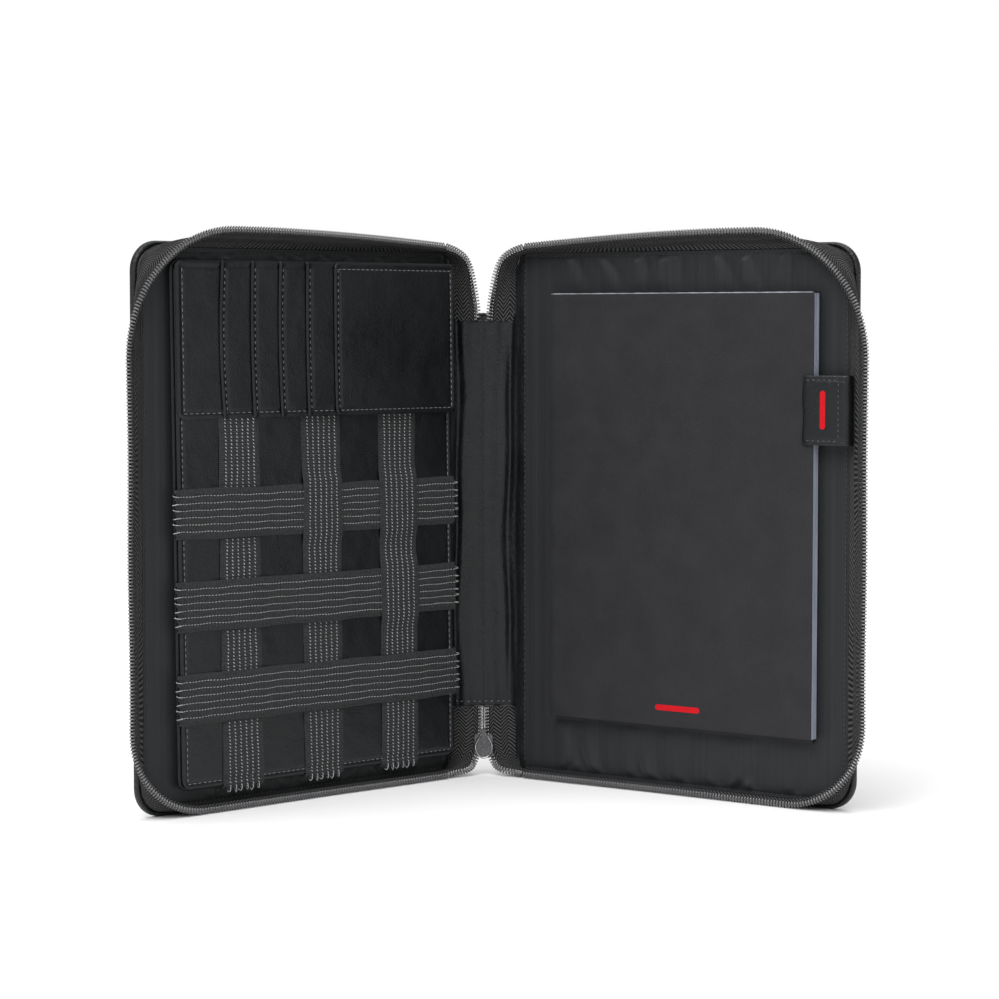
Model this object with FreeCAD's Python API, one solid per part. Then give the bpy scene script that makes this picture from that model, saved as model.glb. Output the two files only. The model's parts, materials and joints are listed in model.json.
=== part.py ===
"""Zip-round portfolio case, standing open on its bottom edge: two stiff covers folding on a soft
spine, a coil zip on a gusset round each cover, an elastic organizer in the left cover and a
top-bound writing pad in the right cover.

Millimetres. +X runs across the spine to the right-hand cover, +Y to the back and +Z up. The origin
is the middle of the footprint, on the surface that the case stands on.
"""
import FreeCAD, Part
import math
import os

V = FreeCAD.Vector
UP = V(0, 0, 1)

# ---- Case -------------------------------------------------------------------------------------
LEAF_WIDTH = 196.0            # fold axis to the outer edge of a cover
CASE_HEIGHT = 266.0
SPINE_WIDTH = 30.0            # between the two fold axes
OPEN_ANGLE = 38.9             # each cover stands this far forward of lying flat, in degrees
SKIN_THICKNESS = 1.2
BOARD_THICKNESS = 2.0
LINING_THICKNESS = 0.8
OUTER_CORNER_RADIUS = 14.0
SPINE_CORNER_RADIUS = 9.0
FOLD_CLEARANCE = 0.3          # between the round fold and the edge of a cover
PIPING_DIAMETER = 1.8
PIPING_SETBACK = 0.2          # the piping stands this far in from the cut edge
LAYER_CLEARANCE = 0.1         # between neighbours sewn side by side
HINGE_FACING_EDGE = 10.0      # where the leather facing ends and the cloth lining starts

# ---- Spine panel ------------------------------------------------------------------------------
SPINE_PANEL_HEIGHT = 197.0
SPINE_REINFORCEMENT_THICKNESS = 1.0
SPINE_LINING_THICKNESS = 0.8
SPINE_LINING_SIDE_GAP = 1.5

# ---- Zip --------------------------------------------------------------------------------------
TAPE_THICKNESS = 0.8
RIM_HEIGHT = 12.2             # front of the coil above a cover's inner face
COIL_WIDTH = 2.6
COIL_DEPTH = 2.4
RIM_SIDE_FLARE = 10.0         # how far the rim stands out past the cover's outer edge
RIM_TOP_FLARE = 9.0
RIM_SPINE_FLARE = 6.5         # how far the rim reaches past the fold axis over the spine
RIM_TOP_CORNER_RADIUS = 62.0
RIM_BOTTOM_CORNER_RADIUS = 50.0
RIM_SPINE_CORNER_RADIUS = 19.0
TAPE_END_ABOVE_SPINE = 2.0    # the tape stops this far above the spine panel
RIM_START = -2.0              # where the bottom run starts, from the fold axis
TAPE_START = 8.0
CHAIN_LENGTH = 23.0           # closed chain below the spine panel
CHAIN_HALF_WIDTH = 3.2
CHAIN_THICKNESS = 1.6
CHAIN_SPLIT = 1.8             # the slider's wedge passes between the two rows
CHAIN_TAPE_HALF_WIDTH = 9.0
CHAIN_TAPE_THICKNESS = 1.0
CHAIN_TAPE_TUCK = 9.0         # length sewn in under the spine panel
TOP_TAPE_SHOWN = 1.5

# ---- Slider and pull --------------------------------------------------------------------------
SLIDER_LENGTH = 12.0
SLIDER_HALF_WIDTH = 4.6
SLIDER_PLATE = 1.0
SLIDER_RUNNING_GAP = 0.3
SLIDER_FLANGE = 0.9
SLIDER_DROP = 2.5             # the slider's foot stands this far below the end of the chain
WEDGE_LENGTH = 3.0
WEDGE_CLEARANCE = 0.3
SLIDER_CORNER_RADIUS = 2.2
BRIDGE_WIDTH = 1.8
BRIDGE_HEIGHT = 3.2
BRIDGE_LENGTH = 8.0
BRIDGE_BAR = 0.9
PULL_BAR_RADIUS = 0.6
PULL_LENGTH = 12.7
PULL_HALF_WIDTH = 4.6
PULL_NECK_HALF_WIDTH = 2.6
PULL_THICKNESS = 1.1
PULL_EYE_GAP = 0.4

# ---- Organizer in the left cover --------------------------------------------------------------
ORGANIZER_FROM_FOLD = 9.5
ORGANIZER_OUTER_MARGIN = 16.5
ORGANIZER_FROM_FLOOR = 13.0
ORGANIZER_TOP_MARGIN = 9.5
ORGANIZER_CORNER_RADIUS = 5.0
ORGANIZER_FOAM_INSET = 6.0
ORGANIZER_FOAM_THICKNESS = 2.6
ORGANIZER_SHEET_THICKNESS = 1.8
CARD_PANEL_HEIGHT = 71.5
CARD_PANEL_FROM_TOP = 1.0
CARD_BASE_THICKNESS = 1.3
CARD_BASE_LIFT = 4.0          # the base stops this far above the pockets' bottom seam
CARD_SHEET_THICKNESS = 0.6
CARD_FRONT_THICKNESS = 0.8
CARD_SIDE_MARGIN = 1.5
CARD_CORNER_RADIUS = 6.0
CARD_POCKETS = 5
CARD_FIRST_STEP = 25.0        # from the panel's outer side to the first pocket's edge
CARD_STEP = 17.0              # from each pocket's edge to the next
ELASTIC_WIDTH = 24.0
ELASTIC_THICKNESS = 1.0
ELASTIC_GAP = 0.1
ELASTIC_RAMP = 3.0            # length over which a band climbs over another
ELASTIC_WRAP = 4.0            # how far a band turns down over the edge of the organizer
BAND_SIDE_MARGIN = 36.0       # organizer's side to the centre of the nearest vertical band
BAND_LOWER_MARGIN = 41.0      # organizer's lower edge to the centre of the lowest band
BAND_UPPER_MARGIN = 44.0      # card panel to the centre of the highest band
# The vertical bands that each horizontal band passes over, from the top and from the outer side.
HORIZONTAL_OVER = ((0,), (0, 1), (0, 1, 2))

# ---- Writing pad in the right cover -----------------------------------------------------------
PAD_THICKNESS = 5.9
PAD_FROM_FOLD = 29.1
PAD_OUTER_MARGIN = 18.9       # with the margin on the spine's side, leaves 148 for an A5 sheet
PAD_FROM_FLOOR = 33.0
PAD_TOP_MARGIN = 23.0         # with the margin below, leaves 210 for an A5 sheet
PAD_CLEARANCE = 0.3
PAD_BACKING_THICKNESS = 0.8
PAD_COVER_THICKNESS = 0.5
PAD_COVER_FLAP = 18.0
TONGUE_SIDE_MARGIN = 4.0      # the backing is narrower than the sheets
POCKET_HEIGHT = 70.0
POCKET_CLOTH = 0.6
POCKET_HEM = 2.0

# ---- Pen loop ---------------------------------------------------------------------------------
LOOP_WIDTH = 32.5
LOOP_BOTTOM = 171.5
LOOP_LEATHER = 1.2
LOOP_RADIUS = 3.5             # outside of its fold
LOOP_OVERLAP = 5.1            # how far it lies over the pad's edge
LOOP_SEAM_MARGIN = 3.1        # fold centre back from the outer edge of the cover
LOOP_PAD_GAP = 0.3
LOOP_FOLD_END = -20.0         # where its curled back stops, in degrees below the cover's plane
LOOP_FOOT_LENGTH = 6.5
LOOP_FOOT_GAP = 0.5

# ---- Derived sizes ----------------------------------------------------------------------------
SKIN_START = SKIN_THICKNESS + FOLD_CLEARANCE
TAPE_INSET = PIPING_SETBACK + PIPING_DIAMETER + LAYER_CLEARANCE
BOARD_INSET = TAPE_INSET + TAPE_THICKNESS + LAYER_CLEARANCE
LINING_FRONT = BOARD_THICKNESS + LINING_THICKNESS
SPINE_BOTTOM = (CASE_HEIGHT - SPINE_PANEL_HEIGHT) / 2.0
SPINE_TOP = SPINE_BOTTOM + SPINE_PANEL_HEIGHT
CHAIN_BOTTOM = SPINE_BOTTOM - LAYER_CLEARANCE - CHAIN_LENGTH
CHAIN_FRONT = CHAIN_TAPE_THICKNESS + CHAIN_THICKNESS
SLIDER_BOTTOM = CHAIN_BOTTOM - SLIDER_DROP
SLIDER_FACE = CHAIN_FRONT + SLIDER_RUNNING_GAP + SLIDER_PLATE
PULL_AXIS_Z = SLIDER_BOTTOM + SLIDER_LENGTH
PULL_AXIS_FRONT = SLIDER_FACE + (BRIDGE_HEIGHT - BRIDGE_BAR) / 2.0
BRIDGE_TOP_Z = PULL_AXIS_Z + PULL_BAR_RADIUS + BRIDGE_BAR * 2.0
BRIDGE_Z = (BRIDGE_TOP_Z - BRIDGE_LENGTH, BRIDGE_TOP_Z)
ORGANIZER_BACK = LINING_FRONT + ORGANIZER_FOAM_THICKNESS
ORGANIZER_MIDDLE = ORGANIZER_BACK + ORGANIZER_SHEET_THICKNESS
ORGANIZER_FRONT = ORGANIZER_MIDDLE + ORGANIZER_SHEET_THICKNESS
ORGANIZER_OUTER = LEAF_WIDTH - ORGANIZER_OUTER_MARGIN
ORGANIZER_TOP = CASE_HEIGHT - ORGANIZER_TOP_MARGIN
CARD_TOP = ORGANIZER_TOP - CARD_PANEL_FROM_TOP
CARD_BOTTOM = CARD_TOP - CARD_PANEL_HEIGHT
PAD_BACK = LINING_FRONT + PAD_CLEARANCE
PAD_FRONT = PAD_BACK + PAD_THICKNESS
PAD_TOP = CASE_HEIGHT - PAD_TOP_MARGIN
PAD_OUTER = LEAF_WIDTH - PAD_OUTER_MARGIN
LOOP_FRONT = PAD_FRONT + LOOP_PAD_GAP + LOOP_LEATHER
LOOP_AXIS_U = LEAF_WIDTH - LOOP_SEAM_MARGIN
LOOP_AXIS_N = LOOP_FRONT - LOOP_RADIUS


# ---- Shapes in a cover's own frame ------------------------------------------------------------
# A cover is drawn with u outwards from its fold axis, n inwards from the skin's inner face
# towards the reader, and z up. A point (u, n, z) is the vector (u, -n, z).

def point(u, n, z):
    """A point in a cover's frame."""
    return V(u, -n, z)


def slab(u_range, n_range, z_range):
    """A plain rectangular layer."""
    size = [high - low for low, high in (u_range, n_range, z_range)]
    return Part.makeBox(size[0], size[1], size[2], point(u_range[0], n_range[1], z_range[0]))


def prism_across(profile, z_range):
    """A solid of constant section along z from a closed (u, n) profile."""
    corners = [point(u, n, z_range[0]) for u, n in profile]
    face = Part.Face(Part.makePolygon(corners + corners[:1]))
    return face.extrude(UP * (z_range[1] - z_range[0]))


def prism_along(profile, u_range):
    """A solid of constant section along u from a closed (z, n) profile."""
    corners = [point(u_range[0], n, z) for z, n in profile]
    face = Part.Face(Part.makePolygon(corners + corners[:1]))
    return face.extrude(V(u_range[1] - u_range[0], 0, 0))


def corner_arc(centre_u, centre_z, radius, n, start_degrees):
    """A quarter circle in the plane of a cover, turning anticlockwise from start_degrees."""
    angles = [math.radians(start_degrees + turn) for turn in (0.0, 45.0, 90.0)]
    dots = [point(centre_u + radius * math.cos(a), n, centre_z + radius * math.sin(a)) for a in angles]
    return Part.Arc(*dots).toShape()


class Outline:
    """A rectangle in a cover's plane with a radius at each corner but the spine's lower one."""

    def __init__(self, u_range, z_range, bottom_radius, top_radius, spine_radius):
        self.u_range = u_range
        self.z_range = z_range
        self.radii = (bottom_radius, top_radius, spine_radius)

    def inset(self, distance):
        """The same outline moved inwards by distance."""
        u_range = (self.u_range[0] + distance, self.u_range[1] - distance)
        z_range = (self.z_range[0] + distance, self.z_range[1] - distance)
        radii = [radius - distance for radius in self.radii]
        return Outline(u_range, z_range, *radii)

    def run(self, n, start_u, end_z):
        """Edges from start_u on the bottom, round the outer side and the top, down to end_z."""
        (u0, u1), (z0, z1) = self.u_range, self.z_range
        bottom, top, spine = self.radii
        return [
            Part.makeLine(point(start_u, n, z0), point(u1 - bottom, n, z0)),
            corner_arc(u1 - bottom, z0 + bottom, bottom, n, -90.0),
            Part.makeLine(point(u1, n, z0 + bottom), point(u1, n, z1 - top)),
            corner_arc(u1 - top, z1 - top, top, n, 0.0),
            Part.makeLine(point(u1 - top, n, z1), point(u0 + spine, n, z1)),
            corner_arc(u0 + spine, z1 - spine, spine, n, 90.0),
            Part.makeLine(point(u0, n, z1 - spine), point(u0, n, end_z)),
        ]

    def face(self, n):
        """The whole outline as a face, its spine's lower corner rounded as the upper one."""
        (u0, u1), (z0, _) = self.u_range, self.z_range
        spine = self.radii[2]
        edges = self.run(n, u0 + spine, z0 + spine)
        edges.append(corner_arc(u0 + spine, z0 + spine, spine, n, 180.0))
        return Part.Face(Part.Wire(edges))

    def layer(self, n_range):
        """A flat layer of this outline."""
        return self.face(n_range[0]).extrude(V(0, n_range[0] - n_range[1], 0))

    def strip(self, n, width, start_u, end_z):
        """The edges of a strip that follows the outline, width wide, on its inner side."""
        outer = self.run(n, start_u, end_z)
        inner = self.inset(width).run(n, start_u, end_z)
        start = Part.makeLine(point(start_u, n, self.z_range[0]), point(start_u, n, self.z_range[0] + width))
        end = Part.makeLine(point(self.u_range[0], n, end_z), point(self.u_range[0] + width, n, end_z))
        return [start] + outer + [end] + inner




def closed_face(edges):
    """The flat face inside a ring of edges given in any order."""
    return Part.Face(Part.Wire(Part.__sortEdges__(edges)))


def ruled_solid(rings):
    """A solid between flat rings of matching edges, with straight lines from ring to ring."""
    faces = [closed_face(rings[0]), closed_face(rings[-1])]
    for lower, upper in zip(rings, rings[1:]):
        faces += [Part.makeRuledSurface(a, b) for a, b in zip(lower, upper)]
    shell = Part.makeShell(faces)
    shell.sewShape()
    solid = Part.makeSolid(Part.Shell(shell.Faces))
    if solid.Volume < 0:
        solid.reverse()
    return solid


SKIN_OUTLINE = Outline((SKIN_START, LEAF_WIDTH), (0.0, CASE_HEIGHT),
                       OUTER_CORNER_RADIUS, OUTER_CORNER_RADIUS, SPINE_CORNER_RADIUS)
RIM_OUTLINE = Outline((-RIM_SPINE_FLARE, LEAF_WIDTH + RIM_SIDE_FLARE), (0.0, CASE_HEIGHT + RIM_TOP_FLARE),
                      RIM_BOTTOM_CORNER_RADIUS, RIM_TOP_CORNER_RADIUS, RIM_SPINE_CORNER_RADIUS)
TAPE_END_Z = SPINE_TOP + TAPE_END_ABOVE_SPINE


# ---- The cover's own pieces -------------------------------------------------------------------

def cover_shell():
    """Skin, board, facing and lining of one cover, from the outside in."""
    board = SKIN_OUTLINE.inset(BOARD_INSET)
    lining = board.layer((BOARD_THICKNESS, LINING_FRONT))
    facing_zone = slab((0.0, HINGE_FACING_EDGE), (0.0, RIM_HEIGHT), (0.0, CASE_HEIGHT))
    return {
        "cover_skin": SKIN_OUTLINE.layer((-SKIN_THICKNESS, 0.0)),
        "cover_board": board.layer((0.0, BOARD_THICKNESS)),
        "hinge_facing": lining.common(facing_zone),
        "lining": lining.cut(facing_zone),
    }


def edge_piping():
    """The round piping that stands on the skin along its free edges."""
    radius = PIPING_DIAMETER / 2.0
    path = Part.Wire(SKIN_OUTLINE.inset(PIPING_SETBACK + radius).run(radius, TAPE_START, TAPE_END_Z))
    start = path.Edges[0].Vertexes[0].Point
    profile = Part.Wire(Part.makeCircle(radius, start, V(1, 0, 0)))
    return path.makePipeShell([profile], True, False)


def gusset_tape():
    """The zip's cloth tape, standing from the cover's edge out to the coil."""
    coil_back = RIM_HEIGHT - COIL_DEPTH
    rim_inset = (COIL_WIDTH - TAPE_THICKNESS) / 2.0
    seam = SKIN_OUTLINE.inset(TAPE_INSET)
    knee_height = max(LINING_FRONT, PIPING_DIAMETER) + LAYER_CLEARANCE
    foot = seam.strip(0.0, TAPE_THICKNESS, TAPE_START, TAPE_END_Z)
    knee = seam.strip(knee_height, TAPE_THICKNESS, TAPE_START, TAPE_END_Z)
    rim = RIM_OUTLINE.inset(rim_inset).strip(coil_back, TAPE_THICKNESS, RIM_START, TAPE_END_Z)
    return ruled_solid([foot, knee, rim])


def coil_row():
    """One row of the zip's coil as a solid band along the rim."""
    band = closed_face(RIM_OUTLINE.strip(RIM_HEIGHT - COIL_DEPTH, COIL_WIDTH, RIM_START, TAPE_END_Z))
    return band.extrude(V(0, -COIL_DEPTH, 0))


def cover_pieces():
    """All the pieces that both covers share."""
    pieces = cover_shell()
    pieces["edge_piping"] = edge_piping()
    pieces["gusset_tape"] = gusset_tape()
    pieces["coil_row"] = coil_row()
    return pieces


# ---- Organizer --------------------------------------------------------------------------------

def rounded_panel(u_range, n_range, z_range, radius, corners):
    """A layer whose listed corners, as (outer, top) flags, are rounded."""
    panel = slab(u_range, n_range, z_range)
    picked = []
    for edge in panel.Edges:
        middle = edge.CenterOfMass
        across = abs(edge.Vertexes[0].Y - edge.Vertexes[1].Y) > 1e-6
        outer = middle.x > sum(u_range) / 2.0
        top = middle.z > sum(z_range) / 2.0
        if across and (outer, top) in corners:
            picked.append(edge)
    return panel.makeFillet(radius, picked)


ALL_CORNERS = ((False, False), (False, True), (True, False), (True, True))


def organizer_board():
    """The organizer's foam core and its back and front sheets."""
    u_range = (ORGANIZER_FROM_FOLD, ORGANIZER_OUTER)
    z_range = (ORGANIZER_FROM_FLOOR, ORGANIZER_TOP)
    inset = ORGANIZER_FOAM_INSET
    foam_u = (u_range[0] + inset, u_range[1] - inset)
    foam_z = (z_range[0] + inset, z_range[1] - inset)
    radius = ORGANIZER_CORNER_RADIUS
    back = rounded_panel(u_range, (ORGANIZER_BACK, ORGANIZER_MIDDLE), z_range, radius, ALL_CORNERS)
    front = rounded_panel(u_range, (ORGANIZER_MIDDLE, ORGANIZER_FRONT), z_range, radius, ALL_CORNERS)
    return {
        "organizer_foam": rounded_panel(foam_u, (LINING_FRONT, ORGANIZER_BACK), foam_z, radius, ALL_CORNERS),
        "organizer_back_sheet": back,
        "organizer_front_sheet": front,
    }


def card_pockets():
    """The card panel's base and its stepped pockets, each laid over the one before."""
    inner = ORGANIZER_FROM_FOLD + CARD_SIDE_MARGIN
    outer = ORGANIZER_OUTER - CARD_SIDE_MARGIN
    level = ORGANIZER_FRONT + CARD_BASE_THICKNESS
    top_inner = ((False, True),)
    base_z = (CARD_BOTTOM + CARD_BASE_LIFT, CARD_TOP)
    pieces = {"card_base": rounded_panel((inner, outer), (ORGANIZER_FRONT, level), base_z,
                                         CARD_CORNER_RADIUS, top_inner)}
    for index in range(CARD_POCKETS):
        step = CARD_FIRST_STEP + index * CARD_STEP
        last = index == CARD_POCKETS - 1
        thickness = CARD_FRONT_THICKNESS if last else CARD_SHEET_THICKNESS
        pocket = rounded_panel((inner, outer - step), (level, level + thickness), (CARD_BOTTOM, CARD_TOP),
                               CARD_CORNER_RADIUS, top_inner)
        pieces["card_front_panel" if last else "card_pocket_%d" % (index + 1)] = pocket
        level += thickness
    return pieces


def band_path(start, end, crossings, lifted):
    """The inner line of a band from start to end as (distance, level) points.

    The band lies on the organizer and climbs over each crossing centre line whose flag is set.
    """
    low = ORGANIZER_FRONT
    high = low + ELASTIC_THICKNESS + ELASTIC_GAP
    half = ELASTIC_WIDTH / 2.0 + ELASTIC_GAP
    spots = sorted(centre for centre, up in zip(crossings, lifted) if up)
    line = [(start, low)]
    for centre in spots:
        line += [(centre - half - ELASTIC_RAMP, low), (centre - half, high),
                 (centre + half, high), (centre + half + ELASTIC_RAMP, low)]
    return line + [(end, low)]


def band_profile(line, wrap_start, wrap_end):
    """A closed profile of the band's thickness on its inner line, with ends turned down."""
    t = ELASTIC_THICKNESS
    gap = ELASTIC_GAP
    foot = ORGANIZER_FRONT - ELASTIC_WRAP
    inner = list(line)
    outer = [(distance, level + t) for distance, level in line]
    start = line[0][0]
    end = line[-1][0]
    if wrap_start:
        inner = [(start - gap, foot), (start - gap, line[0][1])] + inner[1:]
        outer = [(start - gap - t, foot), (start - gap - t, line[0][1] + t)] + outer[1:]
    if wrap_end:
        inner = inner[:-1] + [(end + gap, line[-1][1]), (end + gap, foot)]
        outer = outer[:-1] + [(end + gap + t, line[-1][1] + t), (end + gap + t, foot)]
    return inner + outer[::-1]


def evenly(first, last, count):
    """count places from first to last at an even pitch."""
    return [first + (last - first) * index / (count - 1) for index in range(count)]


def elastic_bands():
    """Three vertical and three horizontal elastic bands, woven over and under each other."""
    columns = len(HORIZONTAL_OVER[-1])
    rows = len(HORIZONTAL_OVER)
    vertical_u = evenly(ORGANIZER_OUTER - BAND_SIDE_MARGIN, ORGANIZER_FROM_FOLD + BAND_SIDE_MARGIN, columns)
    horizontal_z = evenly(CARD_BOTTOM - BAND_UPPER_MARGIN, ORGANIZER_FROM_FLOOR + BAND_LOWER_MARGIN, rows)
    half = ELASTIC_WIDTH / 2.0
    band_top = CARD_BOTTOM + CARD_BASE_LIFT - ELASTIC_GAP
    pieces = {}
    for index, centre in enumerate(vertical_u):
        lifted = [index not in over for over in HORIZONTAL_OVER]
        line = band_path(ORGANIZER_FROM_FLOOR, band_top, horizontal_z, lifted)
        profile = band_profile(line, True, False)
        pieces["elastic_vertical_%d" % (index + 1)] = prism_along(profile, (centre - half, centre + half))
    for index, centre in enumerate(horizontal_z):
        lifted = [column in HORIZONTAL_OVER[index] for column in range(len(vertical_u))]
        line = band_path(ORGANIZER_FROM_FOLD, ORGANIZER_OUTER, vertical_u, lifted)
        profile = band_profile(line, True, True)
        pieces["elastic_horizontal_%d" % (index + 1)] = prism_across(profile, (centre - half, centre + half))
    return pieces


# ---- Writing pad and its pocket ---------------------------------------------------------------

def pad_pocket():
    """The cloth pocket, hidden behind the pad, that holds the pad's backing."""
    inner = PAD_FROM_FOLD + TONGUE_SIDE_MARGIN - PAD_CLEARANCE
    outer = PAD_OUTER - TONGUE_SIDE_MARGIN + PAD_CLEARANCE
    back = PAD_BACK + PAD_BACKING_THICKNESS + PAD_CLEARANCE
    top = PAD_FROM_FLOOR + POCKET_HEIGHT
    hem = POCKET_HEM
    outside = slab((inner - hem, outer + hem), (LINING_FRONT, back + POCKET_CLOTH),
                   (PAD_FROM_FLOOR - PAD_CLEARANCE - hem, top))
    inside = slab((inner, outer), (LINING_FRONT, back), (PAD_FROM_FLOOR - PAD_CLEARANCE, top))
    return outside.cut(inside)


def writing_pad():
    """Backing board, glued sheets and a folded cover, all bound along the top edge."""
    u_range = (PAD_FROM_FOLD, PAD_OUTER)
    tongue_u = (PAD_FROM_FOLD + TONGUE_SIDE_MARGIN, PAD_OUTER - TONGUE_SIDE_MARGIN)
    backing_front = PAD_BACK + PAD_BACKING_THICKNESS
    pocket_front = backing_front + PAD_CLEARANCE + POCKET_CLOTH
    sheets_back = pocket_front + PAD_CLEARANCE
    sheets_front = PAD_FRONT - PAD_COVER_THICKNESS
    sheets_top = PAD_TOP - PAD_COVER_THICKNESS
    step = PAD_FROM_FLOOR + POCKET_HEIGHT + PAD_CLEARANCE
    sheets = slab(u_range, (sheets_back, sheets_front), (PAD_FROM_FLOOR, sheets_top))
    bound_part = slab(u_range, (backing_front, sheets_back), (step, sheets_top))
    flap_back = backing_front - PAD_COVER_THICKNESS
    cover_front = slab(u_range, (sheets_front, PAD_FRONT), (PAD_FROM_FLOOR, PAD_TOP))
    cover_fold = slab(u_range, (flap_back, PAD_FRONT), (sheets_top, PAD_TOP))
    cover_flap = slab(u_range, (flap_back, backing_front), (PAD_TOP - PAD_COVER_FLAP, PAD_TOP))
    backing_z = (PAD_FROM_FLOOR, PAD_TOP - PAD_COVER_FLAP)
    return {
        "pad_backing": slab(tongue_u, (PAD_BACK, backing_front), backing_z),
        "pad_sheets": sheets.fuse(bound_part).removeSplitter(),
        "pad_cover": cover_front.fuse([cover_fold, cover_flap]).removeSplitter(),
    }


# ---- Pen loop ---------------------------------------------------------------------------------

def loop_point(radius, degrees):
    """A point (u, n) on the pen loop's fold, 0 degrees outwards and 90 degrees to the reader."""
    angle = math.radians(degrees)
    return point(LOOP_AXIS_U + radius * math.cos(angle), LOOP_AXIS_N + radius * math.sin(angle), LOOP_BOTTOM)


def pen_loop():
    """The leather loop: a flat tongue over the pad's edge, curling back round its fold."""
    outside = LOOP_RADIUS
    inside = LOOP_RADIUS - LOOP_LEATHER
    middle = (90.0 + LOOP_FOLD_END) / 2.0
    tip_u = PAD_OUTER - LOOP_OVERLAP
    tip_front = point(tip_u, LOOP_FRONT, LOOP_BOTTOM)
    tip_back = point(tip_u, LOOP_FRONT - LOOP_LEATHER, LOOP_BOTTOM)
    edges = [
        Part.Arc(loop_point(outside, 90), loop_point(outside, middle), loop_point(outside, LOOP_FOLD_END)).toShape(),
        Part.makeLine(loop_point(outside, LOOP_FOLD_END), loop_point(inside, LOOP_FOLD_END)),
        Part.Arc(loop_point(inside, LOOP_FOLD_END), loop_point(inside, middle), loop_point(inside, 90)).toShape(),
        Part.makeLine(loop_point(inside, 90), tip_back),
        Part.makeLine(tip_back, tip_front),
        Part.makeLine(tip_front, loop_point(outside, 90)),
    ]
    return Part.Face(Part.Wire(edges)).extrude(UP * LOOP_WIDTH)


def pen_loop_foot():
    """The loop's end, sewn flat on the lining."""
    outer = LOOP_AXIS_U - LOOP_FOOT_GAP
    return slab((outer - LOOP_FOOT_LENGTH, outer), (LINING_FRONT, LINING_FRONT + LOOP_LEATHER),
                (LOOP_BOTTOM, LOOP_BOTTOM + LOOP_WIDTH))


# ---- Spine, chain and slider, drawn between the fold axes -------------------------------------

def across_spine(x_range, depth_range, z_range):
    """A layer of the spine; depth is measured forwards from the skin's inner face."""
    return slab(x_range, depth_range, z_range)


def spine_panel():
    """Skin with its two round folds, reinforcement and lining of the spine."""
    half = SPINE_WIDTH / 2.0
    z_range = (SPINE_BOTTOM, SPINE_TOP)
    skin = across_spine((-half, half), (-SKIN_THICKNESS, 0.0), z_range)
    folds = [Part.makeCylinder(SKIN_THICKNESS, SPINE_PANEL_HEIGHT, V(side * half, 0, SPINE_BOTTOM))
             for side in (-1, 1)]
    lining_half = half - SPINE_LINING_SIDE_GAP
    tuck = CHAIN_TAPE_TUCK + LAYER_CLEARANCE
    front = SPINE_REINFORCEMENT_THICKNESS + SPINE_LINING_THICKNESS
    return {
        "spine_skin": skin.fuse(folds).removeSplitter(),
        "spine_reinforcement": across_spine((-lining_half, lining_half), (0.0, SPINE_REINFORCEMENT_THICKNESS),
                                            (SPINE_BOTTOM + tuck, SPINE_TOP - tuck)),
        "spine_lining": across_spine((-lining_half, lining_half), (SPINE_REINFORCEMENT_THICKNESS, front), z_range),
    }


def zip_ends():
    """Tape ends sewn in under the spine panel, and the two rows that stay closed below it."""
    gap = CHAIN_SPLIT / 2.0
    tape = (0.0, CHAIN_TAPE_THICKNESS)
    top_z = (SPINE_TOP - CHAIN_TAPE_TUCK, SPINE_TOP + TOP_TAPE_SHOWN)
    bottom_z = (CHAIN_BOTTOM, SPINE_BOTTOM + CHAIN_TAPE_TUCK)
    chain_z = (CHAIN_BOTTOM, SPINE_BOTTOM - LAYER_CLEARANCE)
    pieces = {}
    for name, side in (("left", -1.0), ("right", 1.0)):
        tape_x = sorted((side * gap, side * CHAIN_TAPE_HALF_WIDTH))
        row_x = sorted((side * gap, side * CHAIN_HALF_WIDTH))
        pieces["zip_%s_top_tape" % name] = across_spine(tape_x, tape, top_z)
        pieces["zip_%s_bottom_tape" % name] = across_spine(tape_x, tape, bottom_z)
        pieces["zip_%s_closed_row" % name] = across_spine(row_x, (CHAIN_TAPE_THICKNESS, CHAIN_FRONT), chain_z)
    return pieces


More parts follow.
